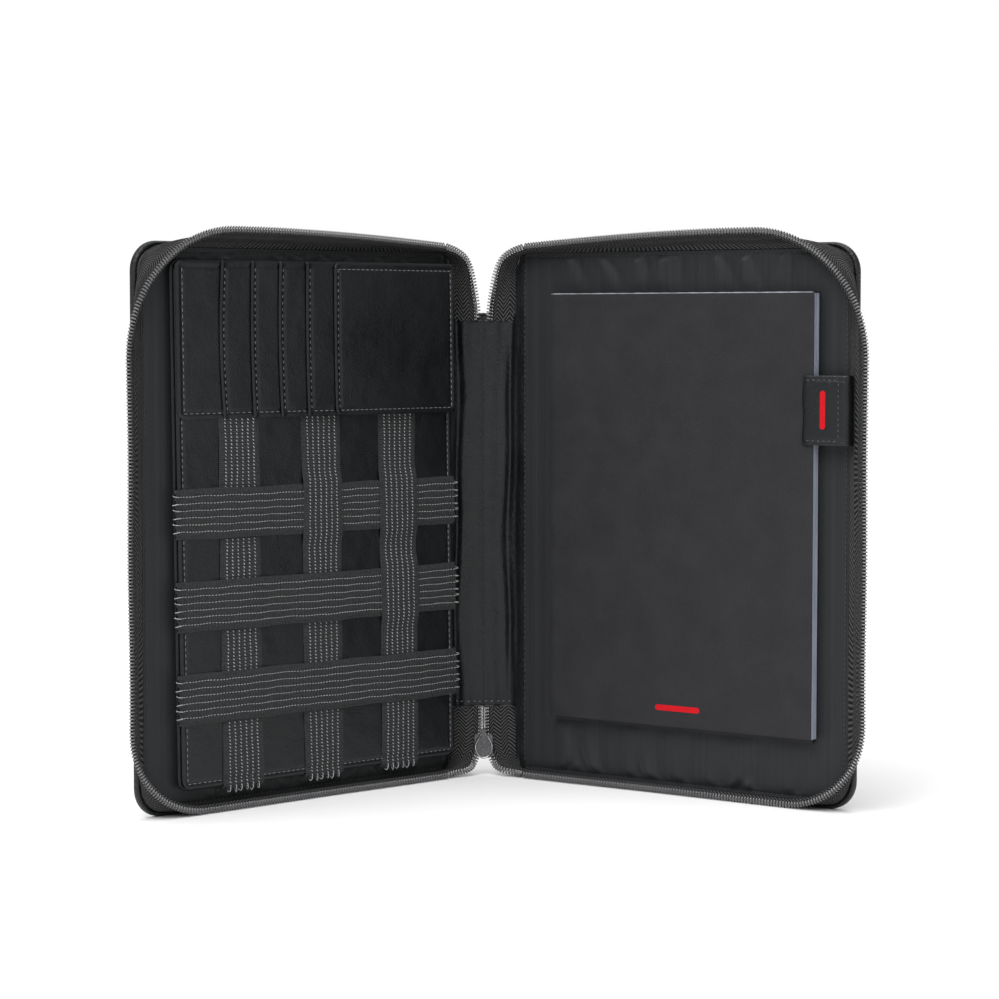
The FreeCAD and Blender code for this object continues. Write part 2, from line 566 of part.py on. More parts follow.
def zip_slider():
    """Two plates joined by a wedge, with side flanges and a bridge for the pull."""
    half = SLIDER_HALF_WIDTH
    z_range = (SLIDER_BOTTOM, SLIDER_BOTTOM + SLIDER_LENGTH)
    front_back = CHAIN_FRONT + SLIDER_RUNNING_GAP
    rear_front = -SLIDER_RUNNING_GAP
    corners = ALL_CORNERS
    front = rounded_panel((-half, half), (front_back, SLIDER_FACE), z_range, SLIDER_CORNER_RADIUS, corners)
    rear = rounded_panel((-half, half), (rear_front - SLIDER_PLATE, rear_front), z_range,
                         SLIDER_CORNER_RADIUS, corners)
    wedge_half = CHAIN_SPLIT / 2.0 - WEDGE_CLEARANCE
    wedge_top = SLIDER_BOTTOM + SLIDER_DROP + WEDGE_LENGTH
    wedge = across_spine((-wedge_half, wedge_half), (rear_front, front_back), (SLIDER_BOTTOM, wedge_top))
    flange_z = (z_range[0] + SLIDER_CORNER_RADIUS, z_range[1] - SLIDER_CORNER_RADIUS)
    flange_depth = (CHAIN_TAPE_THICKNESS + SLIDER_RUNNING_GAP, front_back)
    flanges = [across_spine(sorted((side * (half - SLIDER_FLANGE), side * half)), flange_depth, flange_z)
               for side in (-1.0, 1.0)]
    bridge_z = BRIDGE_Z
    foot_z = z_range[1] - BRIDGE_BAR * 2.0
    bridge_half = BRIDGE_WIDTH / 2.0
    top = SLIDER_FACE + BRIDGE_HEIGHT
    bar = across_spine((-bridge_half, bridge_half), (top - BRIDGE_BAR, top), bridge_z)
    lower_leg = across_spine((-bridge_half, bridge_half), (SLIDER_FACE, top),
                             (bridge_z[0], bridge_z[0] + BRIDGE_BAR))
    upper_leg = across_spine((-bridge_half, bridge_half), (front_back, top),
                             (bridge_z[1] - BRIDGE_BAR, bridge_z[1]))
    lip = across_spine((-bridge_half, bridge_half), (front_back, SLIDER_FACE), (foot_z, bridge_z[1]))
    return front.fuse([rear, wedge, bar, lower_leg, upper_leg, lip] + flanges).removeSplitter()


def zip_pull():
    """A teardrop pull that hangs from a round bar through the slider's bridge."""
    depth = PULL_THICKNESS / 2.0
    n_range = (PULL_AXIS_FRONT - depth, PULL_AXIS_FRONT + depth)
    eye_half = BRIDGE_WIDTH / 2.0 + PULL_EYE_GAP
    round_z = PULL_AXIS_Z - PULL_LENGTH + PULL_HALF_WIDTH
    neck = PULL_NECK_HALF_WIDTH
    top_z = PULL_AXIS_Z + PULL_BAR_RADIUS
    tangent = math.radians(20.0)
    side_u = PULL_HALF_WIDTH * math.cos(tangent)
    side_z = round_z + PULL_HALF_WIDTH * math.sin(tangent)
    front = n_range[0]
    left_low = point(-side_u, front, side_z)
    right_low = point(side_u, front, side_z)
    edges = [
        Part.Arc(right_low, point(0, front, round_z - PULL_HALF_WIDTH), left_low).toShape(),
        Part.makeLine(left_low, point(-neck, front, top_z)),
        Part.makeLine(point(-neck, front, top_z), point(neck, front, top_z)),
        Part.makeLine(point(neck, front, top_z), right_low),
    ]
    plate = Part.Face(Part.Wire(edges)).extrude(V(0, -PULL_THICKNESS, 0))
    eye_top = top_z + PULL_BAR_RADIUS
    eye = slab((-eye_half, eye_half), (n_range[0] - depth, n_range[1] + depth),
               (BRIDGE_Z[0] - PULL_EYE_GAP, eye_top))
    bar = Part.makeCylinder(PULL_BAR_RADIUS, 2.0 * neck, point(-neck, PULL_AXIS_FRONT, PULL_AXIS_Z), V(1, 0, 0))
    return plate.cut(eye).fuse(bar).removeSplitter()


# ---- Assembly ---------------------------------------------------------------------------------

def stand(shape, side):
    """Turns a cover's piece about its fold axis into place; the left one is mirrored."""
    placed = shape.copy()
    placed.rotate(V(0, 0, 0), UP, -OPEN_ANGLE)
    placed.translate(V(SPINE_WIDTH / 2.0, 0, 0))
    if side == "left":
        placed = placed.mirror(V(0, 0, 0), V(1, 0, 0))
    return placed


def assemble():
    """Every piece in place, by name, before the origin is moved to the footprint's middle."""
    pieces = {}
    for side in ("left", "right"):
        for name, shape in cover_pieces().items():
            pieces["%s_%s" % (side, name)] = stand(shape, side)
    for group in (organizer_board(), card_pockets(), elastic_bands()):
        for name, shape in group.items():
            pieces[name] = stand(shape, "left")
    for name, shape in writing_pad().items():
        pieces[name] = stand(shape, "right")
    pieces["right_pad_pocket"] = stand(pad_pocket(), "right")
    pieces["pen_loop_foot"] = stand(pen_loop_foot(), "right")
    pieces["pen_loop"] = stand(pen_loop(), "right")
    for group in (spine_panel(), zip_ends()):
        pieces.update(group)
    pieces["zip_slider"] = zip_slider()
    pieces["zip_pull"] = zip_pull()
    return pieces


def footprint_shift(pieces):
    """How far the pieces move along Y to put the origin in the middle of their depth."""
    boxes = [shape.optimalBoundingBox(False, False) for shape in pieces.values()]
    return -(min(box.YMin for box in boxes) + max(box.YMax for box in boxes)) / 2.0


PIECES = assemble()
SHIFT = footprint_shift(PIECES)
os.makedirs("parts", exist_ok=True)
for piece_name, piece in sorted(PIECES.items()):
    piece.translate(V(0, SHIFT, 0))
    if not piece.isValid() or piece.Volume <= 0:
        raise RuntimeError("%s is not a sound solid" % piece_name)
    piece.exportStep("parts/%s.step" % piece_name)
print("pieces %d, fold axes at y %.4f" % (len(PIECES), SHIFT))
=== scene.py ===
"""Portfolio case, standing open: leather covers, zip gusset, elastic organizer, writing pad and pen loop."""

import json
import logging
import math
from dataclasses import dataclass, field
from enum import Enum
from typing import Callable

import bpy
import numpy as np
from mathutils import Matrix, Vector


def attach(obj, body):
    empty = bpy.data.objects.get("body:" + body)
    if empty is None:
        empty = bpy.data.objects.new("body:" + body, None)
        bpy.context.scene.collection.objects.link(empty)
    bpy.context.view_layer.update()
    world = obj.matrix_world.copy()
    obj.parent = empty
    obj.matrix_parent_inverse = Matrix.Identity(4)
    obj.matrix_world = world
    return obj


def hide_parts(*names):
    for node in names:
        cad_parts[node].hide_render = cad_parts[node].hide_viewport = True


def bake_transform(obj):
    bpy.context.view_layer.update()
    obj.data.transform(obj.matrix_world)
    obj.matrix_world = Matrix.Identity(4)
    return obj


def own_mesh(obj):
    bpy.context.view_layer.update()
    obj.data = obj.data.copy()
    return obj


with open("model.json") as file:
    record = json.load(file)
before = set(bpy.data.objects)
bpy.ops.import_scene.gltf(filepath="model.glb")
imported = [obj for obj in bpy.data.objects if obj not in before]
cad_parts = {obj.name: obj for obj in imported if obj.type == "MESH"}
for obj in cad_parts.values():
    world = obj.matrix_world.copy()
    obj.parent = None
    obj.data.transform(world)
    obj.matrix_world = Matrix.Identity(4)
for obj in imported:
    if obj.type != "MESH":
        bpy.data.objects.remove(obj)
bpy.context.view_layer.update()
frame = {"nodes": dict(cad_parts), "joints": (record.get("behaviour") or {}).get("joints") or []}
LOG = logging.getLogger("portfolio_case")
MM = 0.001
Shape = Callable[[np.ndarray, np.ndarray], tuple]


# ---------------------------------------------------------------- working with meshes


def deselect() -> None:
    """Leave object mode with nothing selected."""
    if bpy.context.object and bpy.context.object.mode != "OBJECT":
        bpy.ops.object.mode_set(mode="OBJECT")
    bpy.ops.object.select_all(action="DESELECT")


def pick(obj: bpy.types.Object) -> None:
    """Make one object the selected and active one.

    Args:
        obj: The piece.
    """
    deselect()
    obj.select_set(True)
    bpy.context.view_layer.objects.active = obj


def points_of(obj: bpy.types.Object) -> np.ndarray:
    """The vertices of a mesh as an array of rows.

    Args:
        obj: The piece.

    Returns:
        Rows of x, y and z in metres.
    """
    flat = np.zeros(len(obj.data.vertices) * 3)
    obj.data.vertices.foreach_get("co", flat)
    return flat.reshape(-1, 3)


def put_points(obj: bpy.types.Object, rows: np.ndarray) -> None:
    """Write rows back as the vertices of a mesh."""
    obj.data.vertices.foreach_set("co", np.asarray(rows, float).ravel())
    obj.data.update()


def finish_with(obj: bpy.types.Object, kind: str, **settings: object) -> None:
    """Add one modifier, set it and apply it.

    Args:
        obj: The piece to finish.
        kind: The modifier's type.
        **settings: Values for the modifier's properties.
    """
    pick(obj)
    modifier = obj.modifiers.new(kind.title(), kind)
    for key, value in settings.items():
        setattr(modifier, key, value)
    bpy.ops.object.modifier_apply(modifier=modifier.name)


def thicken(obj: bpy.types.Object, thickness: float, edge: float = 0.0, side: float = -1.0) -> None:
    """Give a sheet its thickness and soften its cut edges.

    Args:
        obj: The open sheet.
        thickness: Thickness in millimetres.
        edge: Width of the softened edge in millimetres, or 0 for none.
        side: -1 to thicken behind the face, 1 in front of it.
    """
    finish_with(obj, "SOLIDIFY", thickness=thickness * MM, offset=side, use_quality_normals=True)
    if edge:
        finish_with(obj, "BEVEL", width=edge * MM, segments=2, limit_method="ANGLE",
                    angle_limit=math.radians(60))


def smooth(obj: bpy.types.Object, angle: float = 40.0) -> bpy.types.Object:
    """Shade a piece smooth, except over corners sharper than angle in degrees.

    Args:
        obj: The piece.
        angle: The sharpest angle that is still shaded smooth, in degrees.

    Returns:
        The same piece.
    """
    pick(obj)
    bpy.ops.object.shade_smooth_by_angle(angle=math.radians(angle))
    return obj


def merge_seams(obj: bpy.types.Object) -> None:
    """Join vertices that meet and turn every face outwards.

    Args:
        obj: The piece.
    """
    pick(obj)
    bpy.ops.object.mode_set(mode="EDIT")
    bpy.ops.mesh.select_all(action="SELECT")
    bpy.ops.mesh.remove_doubles(threshold=2e-6)
    bpy.ops.mesh.normals_make_consistent(inside=False)
    bpy.ops.object.mode_set(mode="OBJECT")


def shaped_grid(name: str, across: np.ndarray, along: np.ndarray, shape: Shape,
                flip: bool = False) -> bpy.types.Object:
    """Add a grid and move its vertices by a formula, in millimetres.

    Args:
        name: The piece's name.
        across: Where the grid's columns stand.
        along: Where the grid's rows stand.
        shape: Gives x, y and z for arrays of across and along values.
        flip: Whether to turn the faces round, for a mirrored piece.

    Returns:
        The new piece, with the flat layout in metres as its UV map "weave".
    """
    deselect()
    bpy.ops.mesh.primitive_grid_add(x_subdivisions=len(across) - 1, y_subdivisions=len(along) - 1,
                                    size=2)
    obj = bpy.context.object
    obj.name = obj.data.name = name
    start = points_of(obj)
    columns = np.rint((start[:, 0] + 1) / 2 * (len(across) - 1)).astype(int)
    rows = np.rint((start[:, 1] + 1) / 2 * (len(along) - 1)).astype(int)
    flat_a = np.asarray(across, float)[columns]
    flat_b = np.asarray(along, float)[rows]
    x, y, z = shape(flat_a, flat_b)
    put_points(obj, np.stack([x + 0 * flat_a, y + 0 * flat_a, z + 0 * flat_a], 1) * MM)
    corner_vertex = np.zeros(len(obj.data.loops), int)
    obj.data.loops.foreach_get("vertex_index", corner_vertex)
    layer = obj.data.uv_layers[0] if obj.data.uv_layers else obj.data.uv_layers.new()
    layer.name = "weave"
    layer.data.foreach_set("uv", (np.stack([flat_a, flat_b], 1)[corner_vertex] * MM).ravel())
    if flip:
        obj.data.flip_normals()
    return obj


def steps(start: float, end: float, pitch: float) -> np.ndarray:
    """Even places from start to end, about pitch apart."""
    return np.linspace(start, end, max(2, int(round(abs(end - start) / pitch)) + 1))


def edged(start: float, end: float, pitch: float, zone: float = 5.0, fine: float = 0.5) -> np.ndarray:
    """Places from start to end that stand closer together in a zone at both ends.

    Args:
        start: The first place.
        end: The last place.
        pitch: About how far apart the places stand.
        zone: How far the closer places reach from each end.
        fine: How far apart the closer places stand.

    Returns:
        The places, from start to end.
    """
    return np.concatenate([steps(start, start + zone, fine)[:-1],
                           steps(start + zone, end - zone, pitch)[:-1],
                           steps(end - zone, end, fine)])


def ease(value: np.ndarray, low: float, high: float) -> np.ndarray:
    """A smooth step from 0 at low to 1 at high."""
    t = np.clip((value - low) / (high - low), 0, 1)
    return t * t * (3 - 2 * t)


def hump(value: np.ndarray, middle: float, width: float) -> np.ndarray:
    """A smooth hump of height 1 at middle that falls off within about width."""
    return np.exp(-((value - middle) / width) ** 2)


def unit(rows: np.ndarray) -> np.ndarray:
    """Rows of directions, each scaled to a length of 1."""
    return rows / np.linalg.norm(rows, axis=1)[:, None]


def run_of(rows: np.ndarray) -> np.ndarray:
    """The length run along a path at each of its points."""
    return np.concatenate([[0], np.cumsum(np.linalg.norm(np.diff(rows, axis=0), axis=1))])


def at_run(at: np.ndarray, run: np.ndarray, rows: np.ndarray) -> np.ndarray:
    """Rows read off between the known ones, at the given lengths along their path."""
    return np.stack([np.interp(at, run, rows[:, k]) for k in range(3)], 1)


def ripple(a: np.ndarray, b: np.ndarray, seed: int, count: int = 5, scale: float = 0.05) -> np.ndarray:
    """Gentle seeded unevenness over a surface, between about -1 and 1.

    Args:
        a: First coordinate in millimetres.
        b: Second coordinate in millimetres.
        seed: Which unevenness.
        count: How many waves are added up.
        scale: How tight the waves are, in radians a millimetre.

    Returns:
        The height at each place.
    """
    draw = np.random.default_rng(seed)
    total = 0 * a
    for _ in range(count):
        turn, phase, rate = draw.uniform(0, math.tau), draw.uniform(0, math.tau), draw.uniform(0.5, 1.5)
        total = total + np.sin(rate * scale * (a * math.cos(turn) + b * math.sin(turn)) + phase)
    return total / count


def tube(name: str, path: np.ndarray, radii: np.ndarray, sides: int = 6, flat: float = 1.0,
         guide: tuple | None = None) -> bpy.types.Object:
    """Add a thin rod along a path, open at its ends.

    Args:
        name: The piece's name.
        path: Rows of points in millimetres.
        radii: The radius at each point.
        sides: Number of faces round it.
        flat: Size of the section along the guide as a share of its width.
        guide: A direction that is never along the path, or None to choose one.

    Returns:
        The new rod.
    """
    path = np.asarray(path, float)
    tangent = unit(np.gradient(path, axis=0))
    if guide is None:
        guide = (0.0, 0.0, 1.0) if abs(tangent[:, 2]).max() < 0.9 else (0.0, 1.0, 0.0)
    first = unit(np.cross(np.array(guide), tangent))
    second = np.cross(tangent, first)

    def shape(a: np.ndarray, b: np.ndarray) -> tuple:
        """Wrap the columns round the path.

        Args:
            a: Place across.
            b: Place along.

        Returns:
            World x, y and z.
        """
        i = np.rint(b).astype(int)
        spot = (path[i] + first[i] * (radii[i] * np.cos(a))[:, None]
                + second[i] * (radii[i] * flat * np.sin(a))[:, None])
        return spot[:, 0], spot[:, 1], spot[:, 2]

    obj = shaped_grid(name, np.linspace(0, math.tau, sides + 1), np.arange(len(path)), shape)
    merge_seams(obj)
    return obj


def repeated(name: str, pattern: bpy.types.Object, places: np.ndarray, turns: np.ndarray) -> bpy.types.Object:
    """Copy one small pattern to many places as one mesh, and remove the pattern.

    Args:
        name: The new piece's name.
        pattern: The small piece, about the origin, in metres.
        places: Rows of positions in metres.
        turns: One 3 by 3 matrix for each position, with the new axes as columns.

    Returns:
        The piece that holds all the copies.
    """
    base = points_of(pattern)
    faces = [list(face.vertices) for face in pattern.data.polygons]
    sizes = np.array([len(face) for face in faces])
    corners = np.concatenate([np.array(face) for face in faces])
    count = len(places)
    spots = np.einsum("nij,vj->nvi", turns, base) + places[:, None, :]
    mesh = bpy.data.meshes.new(name)
    mesh.vertices.add(count * len(base))
    mesh.vertices.foreach_set("co", spots.ravel())
    mesh.loops.add(count * len(corners))
    mesh.loops.foreach_set("vertex_index",
                           (corners[None, :] + np.arange(count)[:, None] * len(base)).ravel())
    mesh.polygons.add(count * len(faces))
    starts = np.concatenate([[0], np.cumsum(sizes)[:-1]])
    mesh.polygons.foreach_set("loop_start",
                              (starts[None, :] + np.arange(count)[:, None] * len(corners)).ravel())
    mesh.update(calc_edges=True)
    mesh.validate()
    obj = bpy.data.objects.new(name, mesh)
    bpy.context.scene.collection.objects.link(obj)
    bpy.data.objects.remove(pattern)
    return smooth(obj, 60)


def joined(name: str, parts: list) -> bpy.types.Object:
    """Join several pieces into one mesh under a new name.

    Args:
        name: The piece's name.
        parts: The pieces to join.

    Returns:
        The joined piece.
    """
    pick(parts[0])
    for part in parts[1:]:
        part.select_set(True)
    if len(parts) > 1:
        bpy.ops.object.join()
    obj = bpy.context.view_layer.objects.active
    obj.name = obj.data.name = name
    return obj


def outline(corners: list, radii: list, pitch: float = 2.0) -> np.ndarray:
    """A flat open path with rounded corners.

    Args:
        corners: The path's end points and corners, each (u, z).
        radii: The radius at each inner corner.
        pitch: About how far apart the points stand on the straights.

    Returns:
        Rows of (u, z). Paths with the same corners and pitch count match point for point.
    """
    corners = [np.array(corner, float) for corner in corners]
    rows, here = [], corners[0]
    for corner, after, radius in zip(corners[1:-1], corners[2:], radii):
        into = (corner - here) / np.linalg.norm(corner - here)
        away = (after - corner) / np.linalg.norm(after - corner)
        reach = radius * math.tan(math.acos(float(np.clip(into @ away, -1, 1))) / 2)
        begin, end = corner - into * reach, corner + away * reach
        middle = begin + (away - into * float(into @ away)) / np.linalg.norm(
            away - into * float(into @ away)) * radius
        rows.append(np.linspace(here, begin, int(160 / pitch)))
        turn = np.linspace(0, 1, int(60 / pitch))[1:-1, None] * math.acos(float(np.clip(into @ away, -1, 1)))
        inward = (begin - middle)
        rows.append(middle + inward * np.cos(turn) + into * radius * np.sin(turn))
        here = end
    rows.append(np.linspace(here, corners[-1], int(160 / pitch)))
    return np.concatenate(rows)


def through(points: list, count: int) -> np.ndarray:
    """A smooth curve of count points that passes through the given ones.

    Args:
        points: The known points, in order.
        count: How many points to return.

    Returns:
        Rows of points.
    """
    known = np.array(points, float)
    known = np.concatenate([2 * known[:1] - known[1:2], known, 2 * known[-1:] - known[-2:-1]])
    at = np.linspace(0, len(points) - 1, count)
    index = np.minimum(at.astype(int), len(points) - 2)
    t = (at - index)[:, None]
    p0, p1, p2, p3 = (known[index + k] for k in range(4))
    return 0.5 * (2 * p1 + (p2 - p0) * t + (2 * p0 - 5 * p1 + 4 * p2 - p3) * t * t
                  + (3 * p1 - p0 - 3 * p2 + p3) * t ** 3)


# ---------------------------------------------------------------- the covers' own axes


@dataclass(frozen=True)
class Leaf:
    """A cover's own axes in millimetres: u outwards from its fold, n inwards to the reader, z up."""

    side: int
    fold_x: float
    fold_y: float
    open_angle: float
    name: str

    @property
    def body(self) -> str:
        """The moving body of this cover."""
        return f"{self.name}_leaf"

    def world(self, u: np.ndarray, n: np.ndarray, z: np.ndarray) -> tuple:
        """World coordinates in millimetres of places on this cover."""
        cos, sin = math.cos(self.open_angle), math.sin(self.open_angle)
        return (self.side * (self.fold_x + u * cos - n * sin), self.fold_y - u * sin - n * cos, z + 0 * u)

    @property
    def inward(self) -> np.ndarray:
        """The direction from the cover to the reader."""
        return np.array(self.world(0, 1, 0)) - np.array(self.world(0, 0, 0))

    def round_fold(self, s: np.ndarray, n: np.ndarray, z: np.ndarray, radius: float = 5.0) -> tuple:
        """Places on a sheet that runs from the spine over the fold onto the cover.

        Args:
            s: Distance outwards from the fold, negative on the spine.
            n: Height towards the reader.
            z: Height above the floor.
            radius: How far from the fold the bend reaches.

        Returns:
            World coordinates in millimetres.
        """
        share = ease(s, -radius, radius)
        turn = self.open_angle * share
        return (self.side * (self.fold_x + s * np.cos(turn) - n * np.sin(turn)),
                self.fold_y - s * np.sin(turn) - n * np.cos(turn), z + 0 * s)

    def sheet(self, name: str, across: np.ndarray, along: np.ndarray, shape: Shape) -> bpy.types.Object:
        """Add a shaped sheet whose formula gives u, n and z on this cover."""
        return shaped_grid(name, across, along, lambda a, b: self.world(*shape(a, b)), self.side < 0)


def both_leaves() -> list:
    """The left and the right cover's axes, read from the record's fold joints.

    Returns:
        The left cover, then the right.
    """
    found = []
    for name, side in (("left", -1), ("right", 1)):
        joint = next(j for j in frame["joints"] if j["name"] == f"{name}_leaf_fold")
        found.append(Leaf(side, abs(joint["pos_m"][0]) / MM, joint["pos_m"][1] / MM,
                          math.radians(joint["range_deg"][1]), name))
    return found


LEFT, RIGHT = both_leaves()


def dress(obj: bpy.types.Object, finish: bpy.types.Material) -> bpy.types.Object:
    """Give a piece its material.

    Args:
        obj: The piece.
        finish: The material.

    Returns:
        The same piece.
    """
    obj.data.materials.clear()
    obj.data.materials.append(finish)
    LOG.info("%s: %d faces", obj.name, len(obj.data.polygons))
    return obj


def fasten(obj: bpy.types.Object, body: str, finish: "Finish", slot: str,
           *nodes: str) -> bpy.types.Object:
    """Dress a piece and let it ride on a body.

    Args:
        obj: The piece.
        body: The moving body that carries it.
        finish: The finish to give it.
        slot: Not used.
        *nodes: The CAD nodes that it stands for.

    Returns:
        The same piece.
    """
    dress(obj, finish.material)
    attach(obj, body)
    if nodes:
        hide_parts(*nodes)
    return obj


# ---------------------------------------------------------------- thread


@dataclass(frozen=True)
class Stitch:
    """One visible stitch of sewing thread; sizes in millimetres."""

    length: float = 2.2
    pitch: float = 3.0
    radius: float = 0.2
    sink: float = 0.05
    reach: float = 0.4
    waver: float = 0.05

    def pattern(self) -> bpy.types.Object:
        """Model one stitch along X, arched up along Z.

        Returns:
            The stitch, about the origin.
        """
        x = np.linspace(-0.5, 0.5, 5) * self.length
        rise = np.array([-1.0, 0.25, 0.6, 0.25, -1.0]) * self.radius
        radii = np.array([0.15, 0.9, 1.0, 0.9, 0.15]) * self.radius
        return tube("stitch", np.stack([x, 0 * x, rise], 1), radii, 5)

    def along(self, name: str, line: np.ndarray, up: np.ndarray, slant: float = 0.0,
              seed: int = 1) -> bpy.types.Object:
        """Sew along a line.

        Args:
            name: The piece's name.
            line: Rows of close points in world millimetres.
            up: One direction away from the cloth for each point, or one for all.
            slant: How far each stitch turns from the line, in radians.
            seed: Draws the small unevenness.

        Returns:
            The row of stitches.
        """
        line = np.asarray(line, float)
        up = np.broadcast_to(np.asarray(up, float), line.shape)
        run = run_of(line)
        count = max(1, int(run[-1] / self.pitch))
        at = (np.arange(count) + 0.5) * run[-1] / count
        spot = at_run(at, run, line)
        top = unit(at_run(at, run, up))
        way = at_run(at + self.reach, run, line) - at_run(at - self.reach, run, line)
        way = unit(way - top * np.sum(way * top, axis=1)[:, None])
        across = np.cross(top, way)
        turn = slant + np.random.default_rng(seed).normal(0, self.waver, count)
        way, across = (way * np.cos(turn)[:, None] + across * np.sin(turn)[:, None],
                       across * np.cos(turn)[:, None] - way * np.sin(turn)[:, None])
        return repeated(name, self.pattern(), (spot - top * self.sink) * MM,
                        np.stack([way, across, top], 2))


# ---------------------------------------------------------------- finishes


class Look:
    """A material under construction: its nodes and the links between them."""

    def __init__(self, name: str, coords: str = "Object") -> None:
        """Start a material.

        Args:
            name: The material's name.
            coords: "Object" or "UV", the coordinates that its patterns read.
        """
        self.material = bpy.data.materials.new(name)
        self.material.use_nodes = True
        self.tree = self.material.node_tree
        self.shader = self.tree.nodes["Principled BSDF"]
        self.coords = self.tree.nodes.new("ShaderNodeTexCoord").outputs[coords]

    def link(self, source: object, target: object) -> None:
        """Join two sockets, or set the target to a plain value.

        Args:
            source: An output socket or a plain value.
            target: The input socket.
        """
        if isinstance(source, bpy.types.NodeSocket):
            self.tree.links.new(source, target)
        else:
            target.default_value = source

    def node(self, kind: str, inputs: dict | None = None, **settings: object) -> bpy.types.Node:
        """Add a node, set its properties and feed its inputs.

        Args:
            kind: The node's type, without its common prefix.
            inputs: Values or outputs for its inputs, by name.
            **settings: Values for the node's properties.

        Returns:
            The new node.
        """
        node = self.tree.nodes.new(f"ShaderNode{kind}")
        for key, value in settings.items():
            setattr(node, key, value)
        for key, value in (inputs or {}).items():
            self.link(value, node.inputs[key])
        return node

    def math(self, operation: str, *values: object) -> object:
        """Add a Math node and return its output.

        Args:
            operation: Which sum the node does.
            *values: Its inputs, in order.

        Returns:
            Its output.
        """
        node = self.node("Math", operation=operation)
        for index, value in enumerate(values):
            self.link(value, node.inputs[index])
        return node.outputs[0]

    def mix(self, first: object, second: object, share: float) -> object:
        """Mix two values, with share of the first and the rest of the second."""
        rest = self.math("MULTIPLY", second, 1 - share)
        return self.math("ADD", self.math("MULTIPLY", first, share), rest)

    def wave(self, value: object, length: float) -> object:
        """A sine wave along a value, of the given length in millimetres."""
        return self.math("SINE", self.math("MULTIPLY", value, math.tau / (length * MM)))

    def noise(self, scale: float, detail: float = 3.0, stretch: tuple | None = None) -> object:
        """Add a noise of the given scale per metre and return its output.

        Args:
            scale: How many features a metre.
            detail: How many finer layers are added.
            stretch: A scale for each axis, or None.

        Returns:
            Its output.
        """
        coords = self.coords
        if stretch:
            coords = self.node("Mapping", {"Vector": coords, "Scale": stretch}).outputs[0]
        return self.node("TexNoise", {"Vector": coords, "Scale": scale, "Detail": detail}).outputs[0]

    def cells(self, scale: float, feature: str = "F1") -> object:
        """Add a cell pattern of the given scale per metre and return its distance."""
        return self.node("TexVoronoi", {"Vector": self.coords, "Scale": scale},
                         feature=feature).outputs["Distance"]

    def axis(self, name: str) -> object:
        """One coordinate of the pattern's space."""
        return self.node("SeparateXYZ", {"Vector": self.coords}).outputs[name]

    def ramp(self, value: object, *stops: tuple) -> object:
        """Map a value to colours at the given stops.

        Args:
            value: The value to map, from 0 to 1.
            *stops: Places from 0 to 1, each with its colour.

        Returns:
            The colour output.
        """
        node = self.node("ValToRGB", {"Fac": value})
        elements = node.color_ramp.elements
        while len(elements) < len(stops):
            elements.new(0.5)
        for element, (place, colour) in zip(elements, stops):
            element.position = place
            element.color = (*colour, 1.0)
        return node.outputs[0]

    def spread(self, value: object, low: float, high: float) -> object:
        """Map a value from 0..1 to low..high."""
        return self.math("MULTIPLY_ADD", value, high - low, low)

    def bump(self, *layers: tuple) -> None:
        """Stack bump layers, each a height and its depth in metres, on the shader.

        Args:
            *layers: Pairs of a height and its depth in metres, the first one lowest.
        """
        normal = None
        for height, depth in layers:
            node = self.node("Bump", {"Height": height, "Distance": depth, "Strength": 1.0})
            if normal is not None:
                self.link(normal, node.inputs["Normal"])
            normal = node.outputs[0]
        self.link(normal, self.shader.inputs["Normal"])

    def surface(self, **values: object) -> bpy.types.Material:
        """Set the shader's sockets by their names and return the material.

        Args:
            **values: Values or outputs, by the socket's name.

        Returns:
            The finished material.
        """
        for key, value in values.items():
            self.link(value, self.shader.inputs[key.replace("_", " ")])
        return self.material


def grey(value: float, blue: float = 0.0) -> tuple:
    """A near-neutral colour, cooler with more blue."""
    return (value * (1 - blue), value, value * (1 + blue))


@dataclass(frozen=True)
class LeatherFinish:
    """Fine-grained cow leather."""

    name: str = "black_leather"
    tone: float = 0.0048
    shine: float = 0.38
    grain: float = 1400.0
    depth: float = 0.00011

    def build(self) -> bpy.types.Material:
        """Pebbled grain, broad tone changes and slightly shiny worn patches.

        Returns:
            The finished material.
        """
        look = Look(self.name)
        pebble = look.cells(self.grain)
        crease = look.noise(self.grain * 0.75, 4.0)
        broad = look.noise(35.0, 3.0)
        patch = look.mix(broad, crease, 0.7)
        colour = look.ramp(patch, (0.3, grey(self.tone * 0.62, 0.2)), (0.7, grey(self.tone * 1.5, 0.2)))
        look.bump((pebble, self.depth), (crease, self.depth * 0.5),
                  (look.noise(90.0, 2.0), self.depth * 5.0))
        roughness = look.spread(patch, self.shine - 0.14, self.shine + 0.14)
        return look.surface(Base_Color=colour, Roughness=roughness, Specular_IOR_Level=0.38)


@dataclass(frozen=True)
class ClothFinish:
    """Plain-woven lining cloth."""

    name: str = "lining_weave"
    tone: float = 0.019
    thread: float = 0.42
    roughness: float = 0.5
    sheen: float = 0.22

    def build(self) -> bpy.types.Material:
        """Crossing threads that read the flat layout, in millimetres a thread.

        Returns:
            The finished material.
        """
        look = Look(self.name, "UV")
        over, under = (look.wave(look.axis(name), 2 * self.thread) for name in "XY")
        weave = look.spread(look.math("MULTIPLY", over, under), 0.5, 1.0)
        slub = look.noise(500.0, 2.0)
        mixed = look.mix(weave, slub, 0.4)
        colour = look.ramp(mixed, (0.3, grey(self.tone * 0.75, 0.08)), (0.8, grey(self.tone * 1.35, 0.08)))
        look.bump((weave, 0.00007), (look.noise(60.0, 2.0), 0.0012))
        return look.surface(Base_Color=colour, Roughness=self.roughness, Sheen_Weight=self.sheen,
                            Sheen_Roughness=0.4, Specular_IOR_Level=0.25)


